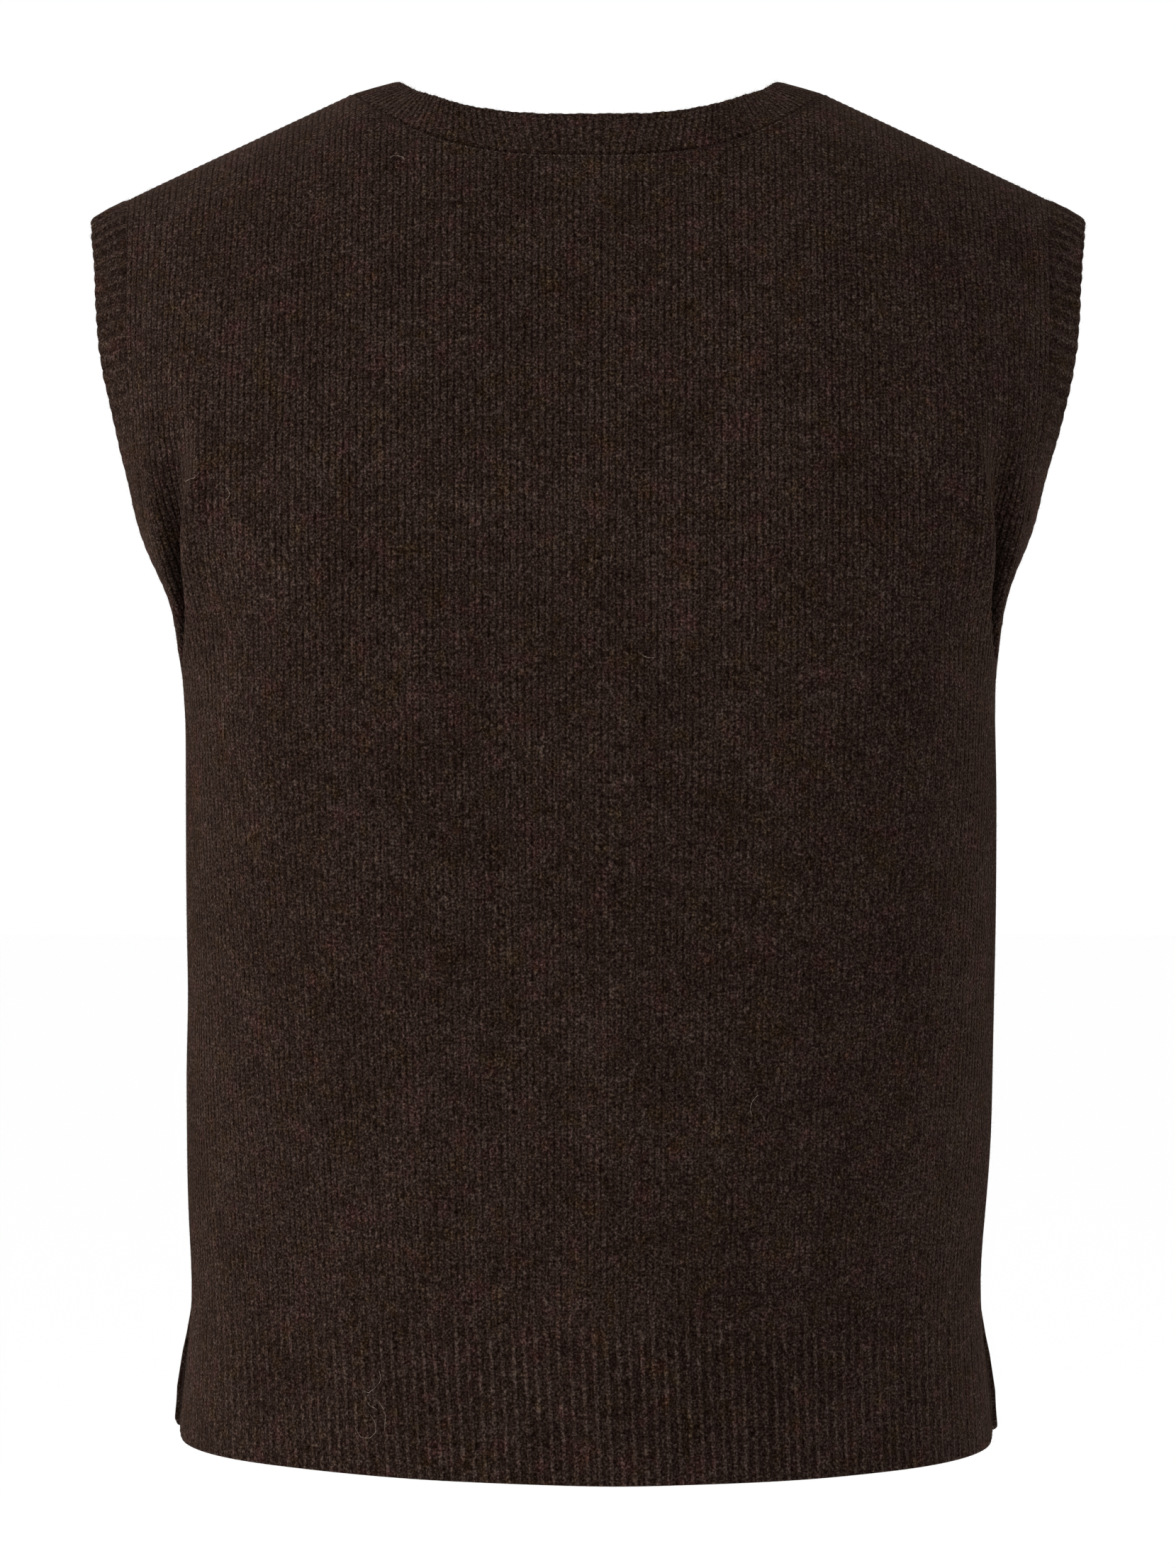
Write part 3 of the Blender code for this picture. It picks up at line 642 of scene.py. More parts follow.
def cloth_points(form, g, c, out):
    """Points of the panel, raised by out from its middle surface, and the outward directions."""
    onward = middle_points(form, g + NUDGE, c) - middle_points(form, g - NUDGE, c)
    upward = middle_points(form, g, c + NUDGE) - middle_points(form, g, c - NUDGE)
    normals = unit(np.cross(onward, upward))
    points = middle_points(form, g, c) + normals * np.broadcast_to(out, g.shape)[..., None]
    below_rib_top = np.clip((RIB_TOP_Z - points[..., 2]) / (RIB_TOP_Z - HEM_Z), 0, None)
    corner = np.clip((np.abs(g) - HEM_CORNER_START) / (1 - HEM_CORNER_START), 0, None)
    left = (1 + np.tanh((points[..., 0] - LIFT_MIDDLE_X) / LIFT_BLEND)) / 2
    rise = (HEM_SIDE_RISE * g**2 + HEM_LEFT_LIFT * left) * below_rib_top
    rise += HEM_CORNER_RISE * corner**2 * below_rib_top**3
    radius = np.where(points[..., 0] > 0, *HEM_CORNER_ROUND)
    inward = np.clip(1 - (1 - np.abs(g)) * form.armpit / radius, 0, 1)
    rise += radius * (1 - np.sqrt(1 - inward**2)) * below_rib_top**3
    points[..., 2] += np.where(c <= 0, rise, 0)
    sign = form.panel.sign
    points[..., 1] = sign * np.maximum(sign * points[..., 1], SEAM_CLEAR)
    return points, normals


def rib_number(form, g, c):
    """Number of the hem rib at a place; whole numbers are the sunken lines between ribs."""
    below = np.maximum(form.height_of(RIB_TOP_COURSE) - form.height_of(c), 0)
    lean = RIB_LEAN * (1 - g) * smooth_step((1 - np.abs(g)) / RIB_LEAN_EDGE)
    g = g - lean * below / form.armpit
    return HEM_RIBS / 2 * g * (1 - RIB_CROWDING + RIB_CROWDING * np.abs(g))


def rib_crest(rib, look):
    """Height from 0 in the groove to 1 on the crest."""
    return (0.5 - 0.5 * np.cos(2 * np.pi * rib))**look.crest


def rib_blend(g, c):
    """How far the hem rib has come in: 0 in the jersey and 1 in the rib, with a ragged start."""
    z = ARMPIT_Z + c * (ARMPIT_Z - HEM_Z)
    ragged = RIB_FADE / 4 * sway(g * 61, 4, 23 / 61)
    come_in = smooth_step((RIB_TOP_Z + RIB_FADE / 2 + ragged - z) / RIB_FADE)
    return come_in * (1 - HEM_SIDE_FADE * g**2)


def seam_lumps(form, g, c):
    """How far the cloth is puckered beside the shoulder, side and armhole seams, from -1 to 1."""
    shoulder = (form.heights[-1] - form.height_of(c)) / SEAM_PUCKER
    side = beside_armhole(form, g, c) / SEAM_PUCKER
    along = np.where(shoulder < side, g * form.armpit, form.height_of(c)) / SEAM_LUMP
    lumps = sway(along, 1.7, 1 / 2.9) * np.sin(along / 1.7 + 1)
    return lumps * np.exp(-np.minimum(shoulder, side)**2)


def relief(form, g, c, cloth):
    """Height of the wales, hem ribs and puckers above the wall's plain outer face."""
    wales = np.abs(np.sin(np.pi * form.wale_of(g, c)))**WALE_POWER - WALE_LEVEL
    ribs = rib_crest(rib_number(form, g, c), HEM_LOOK)
    blend = rib_blend(g, c)
    knitting = cloth.wale_rise * wales * (1 - blend) + cloth.hem_rise * ribs * blend
    return knitting + cloth.pucker * seam_lumps(form, g, c)


def edge_wall(form, g, c):
    """Share of the wall that is left near the side and hem edges, which rounds them."""
    side = np.where(c < 0, (1 - np.abs(g)) * form.armpit, EDGE_ROUND)
    near = np.clip(np.minimum(side, form.height_of(c)) / EDGE_ROUND, 0, 1)
    return EDGE_WALL + (1 - EDGE_WALL) * np.sqrt(1 - (1 - near)**2)


def cloth_courses(form):
    """Courses of the mesh rows, closer together at the hem's rounded edge and at the tucks."""
    edge = np.array([0, 0.25, 0.6]) * EDGE_ROUND
    low, high = form.height_of(np.array(TUCK_COURSES))
    body = np.linspace(EDGE_ROUND, low, BODY_ROWS, endpoint=False)
    tucked = np.linspace(low, high, TUCK_ROWS, endpoint=False)
    yoke = np.linspace(high, form.heights[-1], YOKE_ROWS + 1)
    return form.course_at(np.concatenate([edge, body, tucked, yoke]))


def panel_places(form, columns, courses):
    """g and c of a panel's mesh points, row by row; the rows close up below the neck seam."""
    g, c = np.meshgrid(np.linspace(-1, 1, columns + 1), courses)
    top = form.neck_course(g)
    split = form.neck_c[0] - NECK_EASE
    squeezed = split + (c - split) * (top - split) / (1 - split)
    c = np.where((c > split) & (top < 1), squeezed, c)
    return g.ravel(), c.ravel()


class Knit:
    """A bmesh of knitted cloth whose vertices know their place in the knitting."""

    def __init__(self):
        self.body = bmesh.new()
        self.place = self.body.verts.layers.float_vector.new("knit")
        self.ribbed = self.body.verts.layers.float.new("ribbed")

    def add_grid(self, columns, rows, points, wale, course, rib, ribbed):
        """A grid of faces through the points; gives its vertices as an array of rows."""
        made = bmesh.ops.create_grid(self.body, x_segments=columns, y_segments=rows, size=1)
        for vert, point, a, b, r, share in zip(made["verts"], points, wale, course, rib, ribbed):
            vert.co = point
            vert[self.place] = (a, b, r)
            vert[self.ribbed] = share
        return np.array(made["verts"], dtype=object).reshape(rows + 1, columns + 1)


def rim(grid):
    """The four sides of a grid, anticlockwise as seen from the front."""
    return grid[0], grid[:, -1], grid[-1][::-1], grid[:, 0][::-1]


def close_rim(body, outer, inner):
    """Closes the wall between a fine outer grid and a coarse inner one."""
    for fine, coarse in zip(rim(outer), rim(inner)):
        each = (len(fine) - 1) // (len(coarse) - 1)
        for k in range(len(coarse) - 1):
            corners = list(fine[k * each:(k + 1) * each + 1][::-1]) + [coarse[k], coarse[k + 1]]
            face = body.faces.new(corners)
            for edge in face.edges:
                edge.smooth = False


def new_mesh(name, body):
    """Turns a finished bmesh into a mesh."""
    mesh = bpy.data.meshes.new(name)
    body.to_mesh(mesh)
    body.free()
    return mesh


def new_object(name, data):
    """An object of this data, linked to the scene."""
    made = bpy.data.objects.new(name, data)
    bpy.context.scene.collection.objects.link(made)
    return made


def add_piece(name, mesh, material):
    """An object that rides on the vest."""
    mesh.materials.clear()
    mesh.materials.append(material)
    piece = new_object(name, mesh)
    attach(piece, "root")
    return piece


def knit_panel(form, cloth):
    """A body panel: finely knitted outside, plain inside, closed round its rim."""
    knit = Knit()
    courses = cloth_courses(form)
    skins = []
    for columns, skin_courses, side in ((WALES * COLUMNS_PER_WALE, courses, 1),
                                        (WALES, courses[::2], -1)):
        g, c = panel_places(form, columns, skin_courses)
        out = np.full_like(g, side * cloth.wall / 2)
        if side > 0:
            out = out + relief(form, g, c, cloth)
        points, _ = cloth_points(form, g, c, out * edge_wall(form, g, c))
        grid = knit.add_grid(columns, len(skin_courses) - 1, points, form.wale_of(g, c),
                             form.height_of(c) / cloth.course, rib_number(form, g, c),
                             rib_blend(g, c))
        skins.append(grid)
    outer, inner = skins
    knit.body.faces.ensure_lookup_table()
    outer_faces = (outer.shape[0] - 1) * (outer.shape[1] - 1)
    bmesh.ops.reverse_faces(knit.body, faces=knit.body.faces[outer_faces:])
    for face in knit.body.faces:
        face.smooth = True
    close_rim(knit.body, outer, inner)
    panel = form.panel
    material = knit_material(panel.name + "_jersey", cloth, HEM_LOOK)
    mesh = new_mesh(panel.name + "_cloth", knit.body)
    piece = add_piece(mesh.name, mesh, material)
    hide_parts(panel.name)
    return piece


class Loop:
    """A closed seam line: its points, the direction out of the cloth and the way onward."""

    def __init__(self, stretches):
        points = np.concatenate([part[0] for part in stretches])
        walls = np.concatenate([part[1] for part in stretches])
        closed = np.vstack([points, points[:1]])
        run = line_lengths(closed)
        along = np.arange(LOOP_POINTS) / LOOP_POINTS * run[-1]
        self.length = run[-1]
        self.points = self.blur(resampled(closed, run, along))
        walls = self.blur(resampled(np.vstack([walls, walls[:1]]), run, along))
        ways = unit(np.roll(self.points, -1, axis=0) - np.roll(self.points, 1, axis=0))
        self.onward = unit(np.cross(walls, ways))
        self.walls = unit(np.cross(ways, self.onward))

    @staticmethod
    def blur(table):
        """Smooths a table of the loop's points with their neighbours."""
        reach = 3 * LOOP_BLUR
        weights = np.exp(-(np.arange(-reach, reach + 1) / LOOP_BLUR)**2 / 2)
        weights /= weights.sum()
        rolled = [np.roll(table, k, axis=0) * weight
                  for k, weight in zip(range(-reach, reach + 1), weights)]
        return np.sum(rolled, axis=0)

    def read(self, along):
        """Points, walls and ways onward at places from 0 to 1 round the loop."""
        place = np.asarray(along) % 1 * LOOP_POINTS
        low = place.astype(int) % LOOP_POINTS
        share = (place - place.astype(int))[:, None]
        found = []
        for table in (self.points, self.walls, self.onward):
            found.append(table[low] * (1 - share) + table[(low + 1) % LOOP_POINTS] * share)
        return found[0], unit(found[1]), unit(found[2])


def neck_loop(back, front):
    """The neck seam, along the back and then the front."""
    stretches = []
    for form in (back, front):
        g = np.linspace(-form.neck_g[-1], form.neck_g[-1], SEAM_POINTS)
        stretches.append(cloth_points(form, g, form.neck_course(g), 0.0))
    return Loop(stretches)


def arm_loop(back, front, side):
    """The armhole seam on the wearer's left (side +1) or right (side -1)."""
    c = np.linspace(0, 1, SEAM_POINTS)
    rising = back if side > 0 else front
    falling = front if side > 0 else back
    up = cloth_points(rising, np.full_like(c, -1.0), c, 0.0)
    down = cloth_points(falling, np.full_like(c, 1.0), c[::-1], 0.0)
    return Loop([up, down])


def neck_stand(walls):
    """The neckband stands up at the nape and the throat and lies down over the shoulders."""
    lie = smooth_step((walls[:, 2] - NAPE_FACING) / (SHOULDER_FACING - NAPE_FACING))
    return NAPE_STAND + (SHOULDER_STAND - NAPE_STAND) * lie


def neck_skew(points):
    """How far the neckband's ribs lean outward, which keeps them upright across the nape."""
    return NAPE_SKEW * np.sin(np.pi * points[:, 0] / HIGH_SHOULDER_X) * (points[:, 1] > 0)


def straight(places):
    """The armhole bands just continue the cloth, neither tipped nor skewed."""
    return np.zeros(len(places))


@dataclass(frozen=True)
class Band:
    """A ribbed band around an opening."""
    name: str
    slot: str
    width: float
    ribs: int
    steps: int                  # mesh columns for each rib
    stand: object               # function for the angle by which it tips out of the cloth
    skew: object                # function for how far its ribs lean along it
    curl: float
    rise: str                   # the setting for how far its ribs stand out
    look: RibLook
    rib_start: float            # mean share of the width that stays plain beside the seam
    fade: float                 # how much flatter the ribs are where the loop starts
    corner: float               # how much farther it reaches over the panels there
    flat: tuple                 # length and width of the strip before it was joined on


def foot_reach(band, loop, along):
    """How far a band reaches over the panels, farther where its loop rounds off a corner."""
    beside = np.minimum(along % 1, -along % 1) * loop.length
    return BAND_OVERLAP + band.corner * np.exp(-(beside / CORNER_SPREAD)**2)


def band_points(band, loop, along, across, out):
    """Points of a band, at a share across it and raised by out, and the outward directions."""
    points, walls, onward = loop.read(along)
    tip = band.stand(walls)
    lean = turned(onward, walls, tip) - np.cross(onward, walls) * band.skew(points)[:, None]
    face = turned(walls, -onward, tip * np.clip(across / BAND_TURN, 0, 1))
    rise = out - band.curl * across**2
    base = points - onward * foot_reach(band, loop, along)[:, None]
    return base + lean * (across * band.width)[:, None] + face * rise[:, None], face


def rib_strength(band, rib):
    """How fully each rib of a band is shaped, from the armpit up to the shoulder."""
    up = np.sin(np.pi * rib / band.ribs)**2
    return 1 - band.fade * (1 - smooth_step((up - FADE_START) / FADE_SPAN))


def free_edge(angle):
    """How near a place in a band's section is to its free edge, from 0 to 1."""
    return np.clip(-np.cos(angle), 0, 1)**6


def band_section(band, around, rib, cloth):
    """Share across and height of the ribbed section, at places from 0 to 1 around it."""
    angle = 2 * np.pi * around
    flat = np.sign(np.cos(angle)) * np.abs(np.cos(angle))**BAND_SQUARENESS
    across = 0.5 - 0.5 * flat
    round_side = np.sign(np.sin(angle)) * np.abs(np.sin(angle))**BAND_FLATNESS
    crest = rib_crest(rib, band.look) * (1 + RIB_UNEVEN * sway(2.1 * rib, 3, 1 / 3))
    trough = rib_crest(rib + 0.5, HEM_LOOK)
    start = band.rib_start * (1 + sway(1.9 * rib, 2, 8 / 19))
    shown = smooth_step((across - start) / RIB_ONSET)
    outside = np.clip(np.sin(angle), 0, 1)**0.5 * shown
    inside = np.clip(-np.sin(angle), 0, 1)**0.5
    height = cloth.wall / 2 * round_side + BAND_LAP * smooth_step(round_side)
    rise = getattr(cloth, band.rise) * rib_strength(band, rib)
    height += rise * (crest * outside - BAND_INSIDE * trough * inside)
    wave = sway(0.9 * rib, 2, 37 / 90) + np.sin(2.3 * rib)
    across += (0.5 * rise * (crest - 0.5) + EDGE_UNEVEN / 2 * wave) * free_edge(angle) / band.width
    return across, height


def knit_band(band, loop, cloth):
    """A closed rib band around a seam line, ribbed on both faces."""
    knit = Knit()
    columns = band.ribs * band.steps
    along, around = np.meshgrid(np.arange(columns + 1) / columns,
                                np.arange(BAND_PROFILE + 1) / BAND_PROFILE)
    along = along.ravel()
    around = around.ravel()
    rib = along * band.ribs
    across, height = band_section(band, around, rib, cloth)
    points, _ = band_points(band, loop, along, across, height)
    knit.add_grid(columns, BAND_PROFILE, points, rib * 2, across * band.width / cloth.course,
                  rib, rib_strength(band, rib))
    bmesh.ops.remove_doubles(knit.body, verts=knit.body.verts, dist=0.001 * MM)
    for face in knit.body.faces:
        face.smooth = True
    material = knit_material(band.name + "_rib", cloth, band.look)
    mesh = new_mesh(band.name + "_cloth", knit.body)
    piece = add_piece(mesh.name, mesh, material)
    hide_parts(band.name)
    return piece


class Shader:
    """Adds shader nodes to a material and links them as it goes."""

    def __init__(self, name):
        self.material = bpy.data.materials.new(name)
        self.material.use_nodes = True
        self.tree = self.material.node_tree
        self.surface = self.tree.nodes["Principled BSDF"]

    def join(self, socket, value):
        if isinstance(value, bpy.types.NodeSocket):
            self.tree.links.new(value, socket)
        else:
            socket.default_value = value

    def node(self, kind, inputs=(), **settings):
        """Adds a node, makes its settings and joins its inputs, given by name or number."""
        node = self.tree.nodes.new("ShaderNode" + kind)
        for name, value in settings.items():
            setattr(node, name, value)
        for socket, value in inputs:
            self.join(node.inputs[socket], value)
        return node

    def math(self, operation, *values):
        return self.node("Math", enumerate(values), operation=operation).outputs[0]

    def attribute(self, name):
        return self.node("Attribute", attribute_name=name).outputs

    def noise(self, size, detail=2.0, roughness=0.5, shift=0.0, scale=(1, 1, 1)):
        """Soft noise whose features are about size metres across, in Object coordinates."""
        source = self.node("TexCoord").outputs["Object"]
        place = self.node("Mapping", (("Vector", source), ("Location", (shift, shift, shift)),
                                      ("Scale", scale))).outputs[0]
        return self.node("TexNoise", (("Vector", place), ("Scale", 1 / size), ("Detail", detail),
                                      ("Roughness", roughness))).outputs["Fac"]

    def ramp(self, value, low, high, to_low=0.0, to_high=1.0):
        """A smooth rise between two values."""
        inputs = (("Value", value), ("From Min", low), ("From Max", high), ("To Min", to_low),
                  ("To Max", to_high))
        return self.node("MapRange", inputs, interpolation_type="SMOOTHSTEP").outputs["Result"]

    def mix(self, share, one, two, blend="MIX"):
        return self.node("Mix", (("Factor", share), (6, one), (7, two)), data_type="RGBA",
                         blend_type=blend).outputs[2]

    def melange(self, value, stops):
        """Colour read off a row of (value, colour) stops."""
        node = self.node("ValToRGB", [(0, value)])
        elements = node.color_ramp.elements
        for place, _ in stops[2:]:
            elements.new(place)
        for element, (place, colour) in zip(elements, stops):
            element.position = place
            element.color = rgba(colour)
        return node.outputs[0]

    def total(self, start, *parts):
        """start plus each part's weight times how far its value lies from a half."""
        for value, weight in parts:
            off = self.math("SUBTRACT", value, 0.5)
            start = self.math("MULTIPLY_ADD", off, weight, start)
        return start


def stitches(shader, wale, course, bead):
    """Height from 0 to 1 of plain stitches, two slanting legs in each wale.

    The legs meet in the wale's middle and sink away between the wales, and each climbs outward.
    """
    place = shader.math("FRACT", wale)
    off = shader.math("ABSOLUTE", shader.math("SUBTRACT", place, 0.5))
    leg = shader.math("SINE", shader.math("MULTIPLY_ADD", off, 1.5 * math.pi, 0.25 * math.pi))
    phase = shader.math("MULTIPLY_ADD", off, -1.8, course)
    rows = shader.math("COSINE", shader.math("MULTIPLY", phase, 2 * math.pi))
    rows = shader.math("MULTIPLY_ADD", rows, bead, 1 - bead)
    return shader.math("MULTIPLY", leg, rows)


def rgba(colour):
    return (*colour, 1.0)


def knit_material(name, cloth, look):
    """Fuzzy melange wool: stitches, ribs, flecks and soft clouds of colour, with painted shade in the
    grooves and beside the seams.
    """
    shader = Shader(name)
    place = shader.attribute("knit")["Vector"]
    wale, course, rib = shader.node("SeparateXYZ", [(0, place)]).outputs
    ribbed = shader.attribute("ribbed")["Fac"]
    wander = shader.noise(7 * MM, 2, 0.6)
    drift = shader.noise(5 * MM, 2, 0.6, 0.31)
    height = course
    course = shader.total(course, (drift, 1.2))
    jersey = stitches(shader, shader.total(wale, (wander, 0.5)), course, JERSEY_BEAD)
    column = shader.math("MULTIPLY_ADD", rib, look.columns, 0.5 - look.columns / 2)
    rows = stitches(shader, shader.total(column, (wander, 0.4)), course, look.bead)
    turn = shader.math("MULTIPLY", shader.total(rib, (wander, 0.12)), 2 * math.pi)
    crest = shader.math("MULTIPLY_ADD", shader.math("COSINE", turn), -0.5, 0.5)
    crest = shader.math("POWER", crest, look.crest)
    strength = shader.math("MULTIPLY_ADD", crest, 1 - look.half_line, look.half_line)
    rows = shader.math("MULTIPLY", rows, strength)
    rows = shader.math("MULTIPLY_ADD", rows, look.depth, (1 - look.depth) / 2)
    mean_crest = math.gamma(look.crest + 0.5) / math.gamma(look.crest + 1) / math.sqrt(math.pi)
    # painted shade and highlight of the ribs: lighter crests, darker grooves
    painted_rib_shade = shader.math("MULTIPLY", shader.math("SUBTRACT", crest, mean_crest), ribbed)
    painted_rib_shade = shader.math("MULTIPLY_ADD", painted_rib_shade, look.contrast, 0.5)
    knitted = shader.math("MULTIPLY_ADD", shader.math("SUBTRACT", rows, jersey), ribbed, jersey)

    fleck = shader.noise(0.9 * MM, 2, 0.6, 0.12)
    clump = shader.noise(1.8 * MM, 2, 0.6, 0.27, (1, 1, 0.5))
    cloud = shader.noise(34 * MM, 3, 0.7, 0.05)
    pink = shader.noise(13 * MM, 3, 0.75, 0.44)
    gold = shader.noise(11 * MM, 3, 0.75, 0.83)
    # painted shade: the stitches' grooves darken the colour, more so high up
    wale_groove_shade = shader.ramp(height, *YOKE_HEIGHTS, *WALE_GROOVE_SHADE)
    value = shader.total(painted_rib_shade, (fleck, 1.55), (clump, 0.4), (knitted, wale_groove_shade),
                         (pink, 0.14), (cloud, 0.2))
    # painted shade beside a seam, fading over its first courses
    foot = shader.ramp(height, *FOOT_COURSES, -look.foot, 0.0)
    value = shader.math("ADD", value, foot)
    colour = shader.melange(value, (
        (0.14, cloth.shade),
        (0.48, cloth.yarn),
        (0.70, cloth.light),
        (0.90, cloth.pale),
    ))
    colour = shader.mix(shader.ramp(pink, 0.5, 0.72), colour, rgba(cloth.mauve), "MULTIPLY")
    colour = shader.mix(shader.ramp(gold, 0.5, 0.72), colour, rgba(cloth.ochre), "MULTIPLY")
    shader.join(shader.surface.inputs["Base Color"], colour)

    raised = shader.math("MULTIPLY", knitted, cloth.stitch_depth)
    raised = shader.math("MULTIPLY_ADD", fleck, 0.5 * MM, raised)
    bump = shader.node("Bump", (("Strength", 1.0), ("Distance", 1.0), ("Height", raised)))
    shader.join(shader.surface.inputs["Normal"], bump.outputs["Normal"])
    finish_wool(shader.surface, cloth.sheen)
    return shader.material


def finish_wool(surface, sheen):
    """Matte wool, with the glow of its nap."""
    for name, value in (("Roughness", 1.0), ("Specular IOR Level", 0.0), ("Sheen Weight", sheen),
                        ("Sheen Roughness", 0.35), ("Sheen Tint", (1.0, 0.68, 0.55, 1.0))):
        surface.inputs[name].default_value = value


def fibre_material(name, dark, pale, patchy=False):
    """Fibres between two colours, each by its own tone or in patches along its length."""
    shader = Shader(name)
    if patchy:
        tone = shader.ramp(shader.noise(1.5 * MM), 0.3, 0.7)
    else:
        tone = shader.attribute("tone")["Fac"]
    shader.join(shader.surface.inputs["Base Color"], shader.mix(tone, rgba(dark), rgba(pale)))
    finish_wool(shader.surface, 0.0)
    return shader.material


def realized(name, data, modifier=None, **settings):
    """The mesh that an object of this data has in the end, with a modifier if one is named."""
    maker = new_object(name + "_maker", data)
    if modifier:
        added = maker.modifiers.new(name, modifier)
        for setting, value in settings.items():
            setattr(added, setting, value)
    graph = bpy.context.evaluated_depsgraph_get()
    mesh = bpy.data.meshes.new_from_object(maker.evaluated_get(graph))
    bpy.data.objects.remove(maker)
    mesh.name = name
    return mesh


def repeated(name, shape, places):
    """One mesh of many copies of a small shape; places holds each copy's points."""
    single = new_mesh(name + "_single", shape)
    mesh = realized(name, single, "ARRAY", count=len(places), use_relative_offset=False)
    bpy.data.meshes.remove(single)
    mesh.vertices.foreach_set("co", places.ravel())
    mesh.update()
    return mesh


def give_tones(mesh, tones):
    """Gives each copy in a repeated mesh its own tone."""
    points = np.repeat(tones, len(mesh.vertices) // len(tones))
    mesh.attributes.new("tone", "FLOAT", "POINT").data.foreach_set("value", points)


def fibre_shape():
    """A thin spike in two stretches, upright, one unit long and wide."""
    shape = bmesh.new()
    bmesh.ops.create_cone(shape, cap_ends=True, segments=3, radius1=0.5, radius2=0.35, depth=0.5)
    top = [face for face in shape.faces if face.calc_center_median().z > 0.2]
    made = bmesh.ops.extrude_face_region(shape, geom=top)
    tip = [item for item in made["geom"] if isinstance(item, bmesh.types.BMVert)]
    bmesh.ops.delete(shape, geom=top, context="FACES_ONLY")
    bmesh.ops.pointmerge(shape, verts=tip, merge_co=Vector((0, 0, 0.75)))
    bmesh.ops.translate(shape, verts=shape.verts, vec=(0, 0, 0.25))
    shape.verts.ensure_lookup_table()
    shape.verts.index_update()
    return shape


def grow_fibres(name, points, normals, nap, cloth, draw):
    """Fibres that start in the cloth at the points and bend as they rise."""
    shape = fibre_shape()
    flat = np.array([vert.co for vert in shape.verts])
    count = len(points)
    length = nap.length * (SHORTEST_FIBRE + (1 - SHORTEST_FIBRE) * draw.random(count))
    side = unit(np.cross(normals, NEARLY_UP))
    down = unit(np.cross(side, normals))
    turn = draw.normal(0, 1.1, count)
    lift = np.radians(np.clip(draw.gamma(2.2, 11, count), *FIBRE_LIFTS))
    bend = draw.normal(0, 0.9, count)
    settle = lift * draw.uniform(0.1, 1.0, count)

    def heading(angle, rise):
        return turned(turned(down, side, angle), normals, rise)

    first = heading(turn, lift)
    second = heading(turn + bend, settle)
    middle = points + first * (length / 2)[:, None]
    tip = middle + second * (length / 2)[:, None]
    across = unit(np.cross(first, normals + 0.01))
    over = np.cross(across, first)
    spots = []
    for x, y, z in flat:
        spine = points if z < 0.25 else (middle if z < 0.75 else tip)
        spots.append(spine + (across * x + over * y) * nap.width)
    mesh = repeated(name, shape, np.stack(spots, axis=1))
    give_tones(mesh, draw.beta(1.6, 2.2, count))
    return add_piece(name, mesh, fibre_material(name + "_wool", cloth.yarn, cloth.pale))


def panel_nap(form, nap, cloth, draw):
    """Fibres all over the outside of a panel."""
    g = draw.uniform(-1, 1, nap.panel_fibres)
    height = draw.uniform(0, 1, nap.panel_fibres)
    c = form.course_at(height * form.height_of(form.neck_course(g)))
    out = cloth.wall / 2 + relief(form, g, c, cloth)
    points, normals = cloth_points(form, g, c, out - nap.width)
    grow_fibres(form.panel.name + "_nap", points, normals, nap, cloth, draw)


def band_nap(band, loop, nap, cloth, draw):
    """Fibres on the outside of a band and over its free edge."""
    along = draw.uniform(0, 1, nap.band_fibres)
    around = draw.uniform(0, FIBRE_AROUND, nap.band_fibres)
    across, rise = band_section(band, around, along * band.ribs, cloth)
    points, face = band_points(band, loop, along, across, rise)
    _, _, onward = loop.read(along)
    angle = 2 * np.pi * around
    normals = unit(face * np.sin(angle)[:, None] + onward * free_edge(angle)[:, None] + 1e-6)
    grow_fibres(band.name + "_nap", points, normals, nap, cloth, draw)


def place_at(form, x, z):
    """g and c of the point of a panel that lies nearest to x and z."""
    places = np.linspace(-1, 1, HAIR_PLACES)
    g, c = np.meshgrid(places, places)
    g = g.ravel()
    c = np.minimum(c.ravel(), form.neck_course(g))
    points, _ = cloth_points(form, g, c, 0.0)
    nearest = np.argmin((points[:, 0] - x)**2 + (points[:, 2] - z)**2)
    return g[nearest], c[nearest]


def lay_hairs(form, hairs, nap, cloth, draw):
    """Long pale hairs that have caught on a panel, each a curled line on the cloth."""
    name = form.panel.name + "_hairs"
    curve = bpy.data.curves.new(name, "CURVE")
    curve.dimensions = "3D"
    curve.bevel_depth = nap.hair_width / 2
    curve.bevel_resolution = 1
    curve.resolution_u = 3
    for x, z, heading, bend, steps in hairs:
        g, c = place_at(form, x * MM, z * MM)
        wiggle = draw.normal(0, HAIR_WIGGLE, steps)
        angle = np.radians(heading + bend * np.arange(steps) + wiggle)
        across = g + np.cumsum(np.cos(angle)) * HAIR_STEP / form.armpit
        up = form.height_of(c) + np.cumsum(np.sin(angle)) * HAIR_STEP
        lift = cloth.wall / 2 + cloth.hem_rise + nap.hair_width * draw.uniform(0, 5, steps)
        points, _ = cloth_points(form, across, form.course_at(up), lift)
        line = curve.splines.new("NURBS")
        line.points.add(steps - 1)
        line.points.foreach_set("co", np.column_stack([points, np.ones(steps)]).ravel())
        line.use_endpoint_u = True
        line.order_u = 3
    material = fibre_material(name + "_wool", cloth.pale, nap.hair, patchy=True)
    return add_piece(name, realized(name, curve), material)


